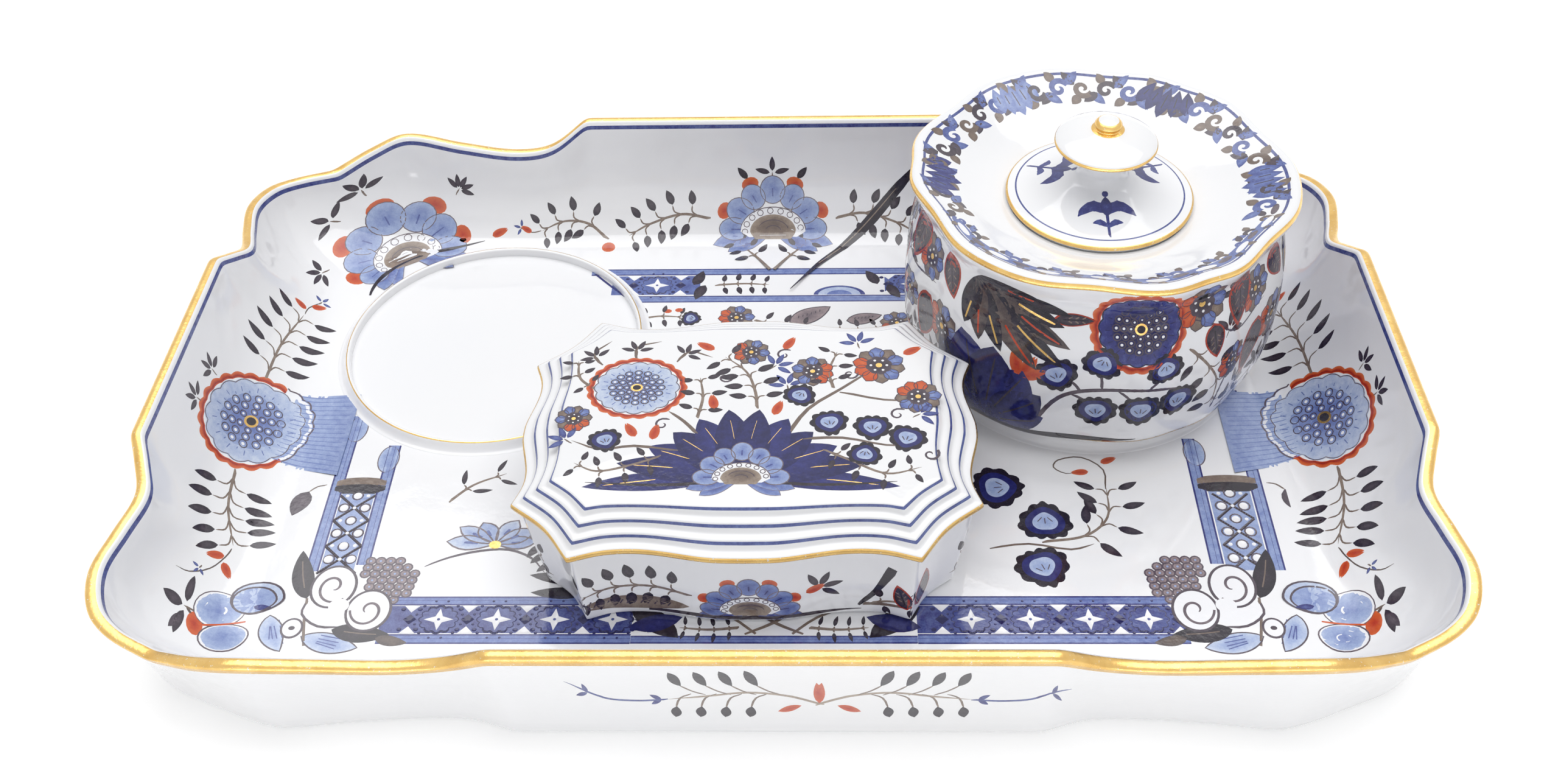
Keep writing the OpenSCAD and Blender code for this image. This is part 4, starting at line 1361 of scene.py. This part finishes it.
def paint_tray():
    paint_rim()
    for side, corner, back in zip(
            both_sides(LEFT_U, 11.9j), both_sides(CORNER_U), both_sides(BACK_CORNER_U)):
        paint_side(side)
        paint_front_corner(corner)
        paint_back_corner(back)
    paint_frame()
    paint_sprigs()
    paint_back()
    for middle in (ROUND / 2 - 9.6, ROUND):
        paint_long_spray(on_wall.moved(middle + LONG_SIDE_V, 180))
    for b in both_sides(3 * ROUND / 4, END_V):
        leaf_spray(b.moved(turn=180), [-20, -8 + 1.4j, 6 + 1j, 18 - 1j], 6, 3.4, 4.6, 1.8)
    tray_paint.make()


# Rows of the frame's marks, made in Geometry Nodes: each row adds its marks to those before


def row_tree():
    tree = bpy.data.node_groups.new("row_of_marks", "GeometryNodeTree")
    for name, kind in (
            ("Geometry", "Geometry"), ("Mark", "Object"), ("Start", "Vector"), ("End", "Vector"),
            ("Count", "Int"), ("Unevenness", "Float"), ("Seed", "Int"), ("Pigment", "Material")):
        tree.interface.new_socket(name, in_out="INPUT", socket_type=f"NodeSocket{kind}")
    tree.interface.new_socket("Geometry", in_out="OUTPUT", socket_type="NodeSocketGeometry")

    def node(kind, settings=None, inputs=None):
        """A node's outputs, from its settings and from the values or links of its inputs."""
        made = tree.nodes.new(kind)
        for key, value in (settings or {}).items():
            setattr(made, key, value)
        for key, value in (inputs or {}).items():
            if isinstance(value, float):
                made.inputs[key].default_value = value
            else:
                tree.links.new(value, made.inputs[key])
        return made.outputs

    given = node("NodeGroupInput")
    line = node("GeometryNodeMeshLine", {"mode": "END_POINTS"}, {
        "Count": given["Count"], "Start Location": given["Start"], "Offset": given["End"]})
    mark = node("GeometryNodeObjectInfo", None, {"Object": given["Mark"]})
    less, more = (
        node("ShaderNodeMath", {"operation": operation}, {0: 1.0, 1: given["Unevenness"]})[0]
        for operation in ("SUBTRACT", "ADD"))
    size = node(
        "FunctionNodeRandomValue", {"data_type": "FLOAT"},
        {2: less, 3: more, "Seed": given["Seed"]})
    marks = node("GeometryNodeInstanceOnPoints", None, {
        "Points": line[0], "Instance": mark["Geometry"], "Scale": size[1]})
    real = node("GeometryNodeRealizeInstances", None, {"Geometry": marks[0]})
    both = node("GeometryNodeJoinGeometry", None, {0: real[0]})
    tree.links.new(given["Geometry"], tree.nodes[-1].inputs[0])
    finish = node(
        "GeometryNodeSetMaterial", None, {"Geometry": both[0], "Material": given["Pigment"]})
    node("NodeGroupOutput", None, {"Geometry": finish[0]})
    return tree


ROW_TREE = row_tree()
ROW_INPUTS = {s.name: s.identifier for s in ROW_TREE.interface.items_tree if s.in_out == "INPUT"}


def lay_rows(pigment, rows):
    """One piece of the rows' marks: each is (mark, start, end, count), in millimetres."""
    host = in_scene("rows", bpy.data.meshes.new("rows"))
    for seed, (mark, start, end, count) in enumerate(rows):
        row = host.modifiers.new(f"row_{seed}", "NODES")
        row.node_group = ROW_TREE
        values = {
            "Mark": mark, "Start": [start.real * MM, start.imag * MM, FLOOR_H * MM],
            "End": [end.real * MM, end.imag * MM, FLOOR_H * MM], "Count": count,
            "Unevenness": 0.04, "Seed": seed, "Pigment": PIGMENTS[pigment]}
        for name, value in values.items():
            row[ROW_INPUTS[name]] = value
    bpy.context.view_layer.update()
    depsgraph = bpy.context.evaluated_depsgraph_get()
    mesh = bpy.data.meshes.new_from_object(host.evaluated_get(depsgraph))
    piece = in_scene(f"tray_rows_{pigment}", mesh)
    bpy.data.objects.remove(host)
    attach(piece, "tray")


def mark_of(pigment, draw):
    """A mark at the origin for the rows, drawn flat."""
    painting = Painting("mark", "")
    draw(Brush(painting, flat_chart(0), FLAT_GAP))
    mark = painting.piece(pigment, "mark")
    mark.data.shade_flat()
    return mark


def star(b):
    b.fill("white_slip", [r * ray(45 * k) for k, r in enumerate([3.5, 1.25, 3.2, 1.25] * 2)], 2, 0)


def star_eye(b):
    b.fill("cobalt", ellipse(0.5, 0.5, 8), 3, 0.7)


def star_ring(b):
    b.line("cobalt", scalloped(4.3, 3.7, 12, 0.16, 48), 0.8, 1, 1, closed=True)
    for k in range(12):
        b.moved(5.4 * ray(30 * k + 15)).fill("cobalt", ellipse(0.42, 0.42, 8), 1, 0.95)


def darts(b):
    for up in (1, -1):
        b.fill("white_slip", [2 + 4.2j * up, 2j * up, -2 + 4.2j * up], 2, 0)


def dart_knots(b):
    b.fill("cobalt", [1.7, 1.6j, -1.7, -1.6j], 1, 1)
    for at in (2, -2):
        for up in (1, -1):
            b.moved(at + 3j * up).fill("cobalt", ellipse(0.7, 0.6, 8), 1, 0.95)


def lattice_cross(b):
    for up in (1, -1):
        b.line(
            "umber", (4.6 + 4.4j * up) * np.linspace(-1, 1, 7), 0.8, 1.3 + 0.2 * up, 0.7,
            ends=(1, 1))


def lozenges(b):
    for at in (2.7, -2.7, 4.2j):
        b.moved(at).fill("white_slip", ellipse(1.15, 1.2, 12), 2, 0)
    for at in (0, 2.7 + 4.2j, -2.7 + 4.2j):
        b.moved(at).fill("white_slip", ellipse(0.6, 0.6, 8), 2, 0.9)


def lozenge_rings(b):
    for at in (2.7, -2.7, 4.2j):
        b.moved(at).line("umber", ellipse(1.35, 1.4, 12), 0.45, 1.6, 0.45, closed=True)


def paint_rows():
    ring, eye, knots = (mark_of("cobalt", d) for d in (star_ring, star_eye, dart_knots))
    cross, rings = (mark_of("umber", d) for d in (lattice_cross, lozenge_rings))
    light, points, pale = (mark_of("white_slip", d) for d in (star, darts, lozenges))
    blue, white, dark = [], [], []
    half = STAR_PITCH / 2
    for start, count in (
            (-79.4 + FRONT_BAND, 4), (44.6 + FRONT_BAND, 4), (-37.5 + BACK_BAND, 1),
            (36 + BACK_BAND, 2)):
        end = start + STAR_PITCH * (count - 1)
        blue += [
            (ring, start, end, count), (eye, start, end, count),
            (knots, start - half, end + half, count + 1)]
        white += [(light, start, end, count), (points, start - half, end + half, count + 1)]
    for inner, outer, *_ in (LEFT_BAND, RIGHT_BAND):
        start = (inner + outer) / 2 + LATTICE_TOP
        end = start - 2j * LATTICE_PITCH
        dark += [(cross, start, end, 3), (rings, start, end, 3)]
        white.append((pale, start, end, 3))
    for pigment, rows in (("cobalt", blue), ("white_slip", white), ("umber", dark)):
        lay_rows(pigment, rows)
    for mark in (ring, eye, knots, cross, rings, light, points, pale):
        bpy.data.objects.remove(mark)


# --- The pot's painting ----------------------------------------------------------------------

# Rings of the pot: round the middle of its side, on its lip, below the dish's border, low on
# the side, and those that the dish's chart lies on
POT_MIDDLE_ROW, POT_LIP_ROW, DISH_LINE_ROW, POT_BASE_ROW = 24, 52, 66, 16
DISH_ROWS = np.arange(84, 59, -1)
SCROLL_COUNT = 40               # in the wreath on the dish
NARROW_ARC = (205, 335)         # degrees, over the photographed side, where it is narrower
POT_SIDE_TURN = 275             # degrees from +X to the side that faces the photo
pot_paint = Painting("pot", "pot_porcelain")


def paint_pot_side(b):
    """A third of the pot: a rosette over heart leaves, broad dark leaves from the foot on its
    left, and flowers and bracts on its right."""
    b.line("umber", [-24 - 13j, -17 + 0.4j, -6 + 4.4j, 6 + 4.6j, 14 + 3j], [1.5, 1.2, 0.9], 1, 0.5)
    for start, end in (
            (-12 + 3j, -16 + 7j), (-7 + 4j, -9 + 12j), (4 + 4.6j, 8 + 10j), (-14 + 2j, -8 - 2j),
            (-3 + 4.6j, 2 - 1j)):
        b.line("umber", [start, (start + end) / 2 + 0.6, end], 0.9, 1, 0.5)
    strew(
        b, heart_leaf, (-18.3 + 7.9j, 20, 9.4), (-7.7 + 12.3j, 160, 8.6), (8 + 10.6j, 190, 8.4),
        (12.8 - 0.6j, -10, 9.2), (3.1 - 1.8j, 0, 9.4), (-7.8 - 2.6j, 10, 9.4))
    for k, (turn, length, width, shade) in enumerate((
            (178, 15, 9, 0.95), (152, 20, 12, 0.88), (128, 26, 14, 1), (106, 27, 15, 0.9),
            (84, 25, 15, 1), (62, 23, 14, 0.9), (40, 20, 12, 1), (18, 17, 9, 0.94))):
        m = b.moved(-36 - 13.4j, turn)
        m.fill(
            "cobalt", leaf_shape(length, width, 0.05, 1.15, 14), 1 + 0.4 * k, shade, shade - 0.12)
        m.line("umber", [0.2 * length, 0.6 * length, 0.92 * length], 0.6, 2 + 0.4 * k, 0.7)
    b.line("umber", [-42 - 13.6j, -26 - 14.6j, -8 - 14j, 4 - 13.6j], [2, 3, 1], 4.6, 0.9)
    for k, (turn, length, tint) in enumerate((
            (2, 19, "umber"), (-10, 26, "umber"), (-20, 30, "stem_brown"), (-30, 32, "umber"),
            (-40, 28, "stem_brown"), (-54, 20, "umber"), (-72, 17, "stem_brown"),
            (-90, 14, "umber"))):
        m = b.moved(-43 + 28j, turn)
        m.fill(tint, leaf_shape(length, 6.4, -0.08, 0.9, 12), 2 + 0.4 * k, 0.95, 0.75)
        rib = [0.45 * length, 0.7 * length * (1 - 0.05j), 0.95 * length * (1 - 0.08j)]
        m.line("gilding" if k % 2 else "iron_red", rib, 0.6, 6, 0.7)
    for at, turn, length in ((-33 + 28j, -6, 17), (-30 + 23j, -22, 14)):
        b.moved(at, turn).fill("umber", leaf_shape(length, 3, -0.1, 0.8, 12), 5.4, 1, 0.8)
    bract(b, -21 + 23.6j, 2, 11, 3.6, 1)
    strew(b, bud, (-27 + 5.6j, 62, 7.4), (-27 + 5.6j, 108, 7.4), (-27 + 5.6j, 20, 7.4))
    rosette(b.moved(0.6 + 22.8j), 12.4, 12.8, 16, ground=0.74, red=2.2)
    b.line("umber", [12 + 24j, 20 + 20j, 30 + 14j, 43 + 16j], [1, 0.9, 0.7], 1, 0.5)
    b.line("umber", [24 - 10j, 28 + 2j, 35 + 6j], [1.1, 0.8], 1, 0.5)
    strew(
        b, bract, (31 + 31j, -96, 16, 10), (20.6 + 20j, -80, 11, 6), (41 + 11j, -106, 17, 10),
        (46 + 28j, -60, 12, 8))
    strew(
        b, aster, (17 + 26.4j, 7.4, 40), (38 + 21j, 6.4, 40), (48.6 + 7j, 7, 40),
        (29 + 5j, 5.4, 40))
    leaf_spray(b, [14 + 15j, 20 + 8j, 24 + 1j, 24 - 8j], 4, 3.8, 5.6, 2.8)
    strew(
        b, sprout, (26 + 16j, 60, 7, 4), (33 - 6j, 20, 7, 4), (45 - 6j, 100, 7, 4),
        (28 + 26j, 100, 7, 4))
    leaf_spray(b, [26 - 10j, 35 - 9.8j, 45 - 9j], 3, 2.6, 4.8, 2.4)


def paint_dish(b):
    """The border inside the pot's lip: a wreath of scrolls between sheaves of blue leaves."""
    for k in range(SCROLL_COUNT):
        turn = 360 / SCROLL_COUNT * k
        away, size = (41.4, 0.85) if NARROW_ARC[0] < turn < NARROW_ARC[1] else (40.2, 1.15)
        m = b.moved(away * ray(turn), turn + 90, size, mirror=k % 2 == 0)
        m.line(
            ("umber", "stem_brown", "cobalt")[k % 3], spiral(2.4, 1.15, 200, 18), [1.6, 1.2, 0.7],
            1.6, 0.64)
        for turned_by, length, tint in (
                (25, 4.2, "umber"), (205, 4.6, "cobalt"), (-70, 3, "stem_brown")):
            leaf(m, 2 * ray(turned_by), turned_by + 20, length, 2.3, tint, 1, 0.64)
    t = np.radians(np.linspace(206, 334, 90))
    b.sheet("cobalt", np.stack([r * np.exp(1j * t) for r in (40.9, 41.6, 42.8, 43.8)], 1), 2, 0.56)
    for turn in range(212, 332, 17):
        b.moved(42.5 * ray(turn), turn + 90).fill("white_slip", ellipse(3, 0.9, 12), 3, 0)
        b.moved(42.2 * ray(turn + 8), turn + 98).fill("umber", ellipse(2.4, 0.8, 12), 3, 0.4)
    for turn, spread, shade in ((356, 1, 0.66), (58, 9, 0.95), (117, 2, 0.5), (179, 10, 0.84)):
        for k in range(-2, 3):
            m = b.moved((44 + 2.3j * k) * ray(turn), turn + 180 - spread * k)
            m.fill(
                "cobalt", leaf_shape(9.4 - 0.9 * abs(k), 3.6, 0, 1.2), 2 + 0.3 * k, shade,
                shade - 0.16)
            m.line("umber", [1, 8 - 0.9 * abs(k)], 0.35, 3, shade)


def paint_pot():
    side = pot.chart(POT_MIDDLE_ROW, POT_MIDDLE_ROW)
    for k in range(3):
        turn = (POT_SIDE_TURN + 120 * k) % 360
        paint_pot_side(Brush(pot_paint, side).moved(side.round * turn / 360))
    ring_line(pot_paint, pot, POT_LIP_ROW, "gilding", 1.5, 0.5, 7, 0.2)
    ring_line(pot_paint, pot, DISH_LINE_ROW, "cobalt", 0.9, 0.7)
    ring_line(pot_paint, pot, POT_BASE_ROW, "gilding", 0.8, 0.5)
    paint_dish(Brush(pot_paint, pot.plan(SEAT, DISH_ROWS)))
    pot_paint.make()


# Rings of the small lid: its edge, the foot of its dome, its knob's edge, its bud, and those
# that the dome's chart lies on
EDGE_ROW, DOME_ROW, KNOB_ROW, BUD_ROW = 19, 28, 82, 108
DOME_ROWS = np.arange(46, 27, -1)


def paint_pot_lid():
    paint = Painting("pot_lid", "lid_porcelain")
    ring_line(paint, pot_lid, EDGE_ROW, "gilding", 1.3, 0.5, 7)
    ring_line(paint, pot_lid, DOME_ROW, "cobalt", 0.5, 0.7)
    ring_line(paint, pot_lid, KNOB_ROW, "gilding", 1, 0.5, 7, 0.1)
    ring_line(paint, pot_lid, BUD_ROW, "gilding", 3.8, 0.5, 13, 0.2)
    dome = Brush(paint, pot_lid.plan(SEAT, DOME_ROWS))
    for turn in (30, 150, 270):
        m = dome.moved(20.2 * ray(turn), turn + 180)
        m.line("cobalt", [0, 3, 9], [0.8, 0.8, 1], 1, 0.78, ends=(1, 1))
        for up in (1, -1):
            m.line("cobalt", [3.4, 4.8 + 2j * up, 4.6 + 3.8j * up], [1, 2, 0.6], 1, 0.74)
            petal = [8, 9.8 + 3j * up, 8.6 + 5.6j * up, 6.9 + 7.2j * up]
            m.line("cobalt", petal, [2.2, 3.5, 2.4, 0.6], 1, 0.8)
        leaf(m, 6.4, 0, 6, 3, "cobalt", 2, 0.9, 0, 1)
        m.moved(13).fill("cobalt", ellipse(0.8, 0.8, 12), 2, 0.8)
    paint.make()


# --- The box's painting ----------------------------------------------------------------------
# Rings of the box: those that the chart of its side runs round on and starts from, its lid's
# edge, and the lid's three steps
BOX_ROUND_ROW, BOX_FOOT_ROW, LID_EDGE_ROW, STEP_ROWS = 20, 9, 18, (34, 46, 58)
def paint_box_side(b, long):
    """One side of the box; the origin is in the middle of its lower edge."""
    half_flower(b.moved(3.4j), 12.6, shade=0.45, finial=False)
    b.line("umber", [-24 + 1.2j, -8 + 1j, 8 + 0.8j, 26 + 1.2j], [0.8, 1.8, 1.8, 0.8], 1, 0.7)
    if long:
        leaf_spray(b, [-13 + 8j, -22 + 10j, -32 + 9.6j, -42 + 7j], 6, 3.4, 5, 2.8)
        m = b.moved(-14 + 3.6j, 178)
        m.fill("stem_brown", leaf_shape(29, 5, 0.02, 0.8, 20), 0.6, 0.5, 0.3)
        for k in range(14):
            m.line("umber", [4 + 1.6 * k - 1.6j, 5.6 + 1.6 * k + 1.6j], 0.45, 1.2, 0.55)
        b.line("umber", [25 + 2.4j, 29 + 8j, 33 + 17j], [1.4, 1.6, 2.8], 1, 0.85, ends=(0.6, 1))
        bract(b, 42 + 2j, 84, 12, 7, 1)
        bract(b, 37 + 3j, 110, 9, 5, 2)
        stalk(b, [26 + 3j, 34 + 3.4j, 42 + 5j], [1.2, 0.8])
        sprout(b, 16 + 10.4j, 40, 7, 4)
        bud(b, 13 + 9j, 30, 5)
        leaf_spray(b, [28 + 3.4j, 34 + 5j, 38 + 5j], 2, 2.4, 4, 2.2)
    else:
        for m in b.mirrored():
            leaf_spray(m, [12 + 6j, 18 + 8.6j, 25 + 8j], 3, 3, 4.4, 2.4)
            stalk(m, [10 + 3j, 18 + 2.4j, 27 + 3j], 0.9)


def paint_box():
    paint = Painting("box", "box_porcelain")
    side = box_body.chart(BOX_ROUND_ROW, BOX_FOOT_ROW)
    for k in range(4):
        paint_box_side(Brush(paint, side).moved(side.round * k / 4), k % 2 == 0)
    paint.make()


def paint_box_lid():
    paint = Painting("box_lid", "box_lid_porcelain")
    for row in STEP_ROWS:
        ring_line(paint, box_lid, row, "cobalt", 1.25, 0.64)
    ring_line(paint, box_lid, LID_EDGE_ROW, "gilding", 1.9, 0.5, 7)
    b = Brush(paint, flat_chart(BOX[2] + BOX_H + LID_H, BOX[:2]), FLAT_GAP)
    # low in the middle, a pale half flower on broad dark leaves
    for above, m in zip((0.1, 0), b.mirrored(-1 - 21j)):
        for k, (turn, length, width, shade) in enumerate((
                (-2, 35, 6, 0.9), (12, 28, 8, 0.98), (28, 23, 9, 0.9), (46, 21, 9.5, 0.98),
                (66, 21, 9.5, 0.9), (86, 22, 9, 0.98))):
            n = m.moved(1, turn)
            outline = leaf_shape(length, width, -0.05, 1, 16)
            n.fill("cobalt", outline, 0.2 * k - 1.3 + above, shade, shade - 0.08)
            rib = [0.5 * length, 0.7 * length * (1 - 0.03j), 0.88 * length * (1 - 0.05j)]
            n.line("gilding", rib, 0.4, 0.4)
        m.line("umber", [4 - 1.6j, 20 - 2.4j, 36 - 1.4j], [1.4, 1, 0.5], 0.5, 0.8)
    half_flower(b.moved(-1 - 21.6j), 12, caps=0, shade=0.3, finial=False)
    # a rosette on the left, flowers and heart leaves on the right, sprays between
    rosette(b.moved(-27 + 8.5j), 12, 10.6, 16, ground=0.06, red=1.5)
    strew(
        b, stalk, ([-11 - 8j, -15 - 3j, -19 + 0.6j], [1.2, 0.8]),
        ([-14 - 13j, -26 - 11j, -34 - 12j, -41 - 9j], [1.1, 0.9, 0.5]),
        ([9 - 8j, 14 + 1j, 22 + 8j, 31 + 16j], [1.3, 1, 0.7]),
        ([21 + 7j, 32 + 4j, 40 + 4j], [0.9, 0.6]),
        ([11 - 9j, 22 - 8.6j, 32 - 11j, 40 - 11j], [1.2, 0.8, 0.5]))
    for at, turn in ((-17 + 19j, 50), (-37 + 18j, 120), (-28 + 20j, 90)):
        stalk(b, [at - 2 * ray(turn), at + 3 * ray(turn), at + 8 * ray(turn - 50)], [0.9, 0.5])
        sprout(b, at + 1.6 * ray(turn), turn, 5, 4)
    strew(
        b, aster, (31 + 16j, 6.4, 60), (15 + 14j, 5.2, 200), (40 + 5j, 5.6, 330),
        (0 + 21j, 4.6, 30), (-41 - 2j, 4.4, 150))
    strew(b, heart_leaf, (19 - 3.4j, 10, 7.8, 10), (29 - 5j, 0, 7.8, 10), (12 + 5.6j, 150, 7, 10),
          (37 - 8.6j, -20, 8, 10), (27 - 14j, 170, 7, 10), (-33 - 9j, 20, 7, 10))
    strew(
        b, leaf_spray, ([2 + 1j, 1.4 + 7j, -1 + 14j, -7 + 20j], 5, 3.2, 4.8, 2.2),
        ([20 + 8j, 19 + 14j, 21 + 21j], 3, 2.6, 4, 1.8),
        ([-12 - 2j, -11 + 5j, -12 + 12j], 3, 2.6, 4, 1.9),
        ([-19 - 14j, -26 - 17j, -34 - 19j, -40 - 16j], 4, 2.4, 3.6, 1.7),
        ([17 - 12j, 24 - 16j, 32 - 20j, 40 - 18j], 4, 2.4, 3.6, 1.7),
        ([-37 + 8j, -41 + 12j, -42 + 18j], 3, 2, 3.2, 1.5))
    for k, at in enumerate((-20 - 4j, 24 + 13j, 35 - 1j, -6 + 12j, 8 + 20j, 42 - 14j)):
        b.moved(at).line(
            "umber", spiral(2.2, -1.1 if k % 2 else 1.1, 40, 16), [0.7, 0.6, 0.4], 1, 0.5)
    for at, turn in (
            (-9 + 22j, 150), (6 - 1j, 70), (-22 - 9j, 80), (8 + 22j, 60), (-26 - 8j, 120),
            (-8 + 1j, 100), (37 + 20j, 30)):
        bud(b, at, turn, 5)
    for at, turn in ((-42 - 9j, 140), (26 + 24j, 100), (6 + 16j, 40), (40 - 1j, 30), (9 + 9j, 100)):
        sprout(b, at, turn, 5.6, 4, "cobalt")
    paint.make()
paint_tray()
paint_rows()
paint_pot()
paint_pot_lid()
paint_box()
paint_box_lid()

# --- Table, light and camera -----------------------------------------------------------------


TABLE_HALF = 2500               # millimetres
NEAR, FAR = 0.22, 0.6           # metres from the middle, between which the table turns white
STUDIO = 0.34                   # strength of the light that comes from all round


def make_table():
    """A pale table that glows white where it runs out of the picture."""
    f = Finish(bpy.data.materials.new("pale_table"))
    where = f.node("ShaderNodeTexCoord", output="Object")
    reach = f.node("ShaderNodeVectorMath", {"operation": "LENGTH"}, {0: where}, output="Value")
    glow = f.node(
        "ShaderNodeMapRange", {"interpolation_type": "SMOOTHSTEP"},
        {"Value": reach, "From Min": NEAR, "From Max": FAR, "To Min": 0.4, "To Max": 1.0}, "Result")
    diffuse = f.node("ShaderNodeBsdfDiffuse", None, {"Color": (0.9, 0.9, 0.9, 1)})
    lit = f.node("ShaderNodeEmission", None, {"Color": glow})
    both = f.node("ShaderNodeAddShader", None, {0: diffuse, 1: lit})
    f.shown(f.node("ShaderNodeMixShader", None, {0: f.seen(), 1: diffuse, 2: both}))
    ring = [(TABLE_HALF * x, TABLE_HALF * y, 0) for x, y in ((-1, -1), (1, -1), (1, 1), (-1, 1))]
    new_piece("table", ring, [(0, 1, 2, 3)], f.block)


def facing(right, up, back, at):
    """The matrix of a lamp or camera at a place, which looks away from back."""
    return Matrix(np.vstack([np.column_stack([right, up, back, at]), [0, 0, 0, 1]]).tolist())


def make_light(name, at, aim, width, height, power):
    """A soft box at a place, facing another, both in metres."""
    light = bpy.data.lights.new(name, "AREA")
    light.shape, light.size, light.size_y, light.energy = "RECTANGLE", width, height, power
    back = unit(np.array(at, float) - np.array(aim, float))
    right = unit(np.cross([0, 0, 1], back))
    in_scene(name, light).matrix_world = facing(right, np.cross(back, right), back, at)


def make_world():
    world = bpy.context.scene.world = bpy.data.worlds.new("studio")
    f = Finish(world)
    ambient, backdrop = (
        f.node("ShaderNodeBackground", None, {"Color": (1, 1, 1, 1), "Strength": strength})
        for strength in (STUDIO, 1))
    mixed = f.node("ShaderNodeMixShader", None, {0: f.seen(), 1: ambient, 2: backdrop})
    f.node("ShaderNodeOutputWorld", None, {"Surface": mixed})


def make_camera():
    """The photograph's view: place in metres, and turn, tilt and roll in degrees."""
    place = (0.0120, -0.2922, 0.2980)
    turn, tilt, roll = (math.radians(a) for a in (-2.25, 43.31, -1.80))
    ahead = np.array([
        math.sin(turn) * math.cos(tilt), math.cos(turn) * math.cos(tilt), -math.sin(tilt)])
    level = np.array([math.cos(turn), -math.sin(turn), 0])
    up = np.cross(level, ahead)
    right = math.cos(roll) * level + math.sin(roll) * up
    up = -math.sin(roll) * level + math.cos(roll) * up
    data = bpy.data.cameras.new("camera")
    data.sensor_fit, data.sensor_width, data.lens = "HORIZONTAL", 36, 36.38
    data.clip_start, data.clip_end = 0.01, 20
    camera = in_scene("camera", data)
    camera.matrix_world = facing(right, up, -ahead, place)
    bpy.context.scene.camera = camera


make_table()
make_world()
make_light("overhead_box", (0.05, 0.2, 1.1), (0, 0, 0), 1.6, 1.1, 12)
make_light("front_box", (-0.1, -1.3, 0.55), (0, 0, 0.02), 1.4, 0.5, 0.9)
make_light("low_front_strip", (0, -0.62, 0.03), (0, 0, 0.02), 0.9, 0.05, 1.1)
make_camera()
bpy.context.scene.view_settings.view_transform = "Standard"
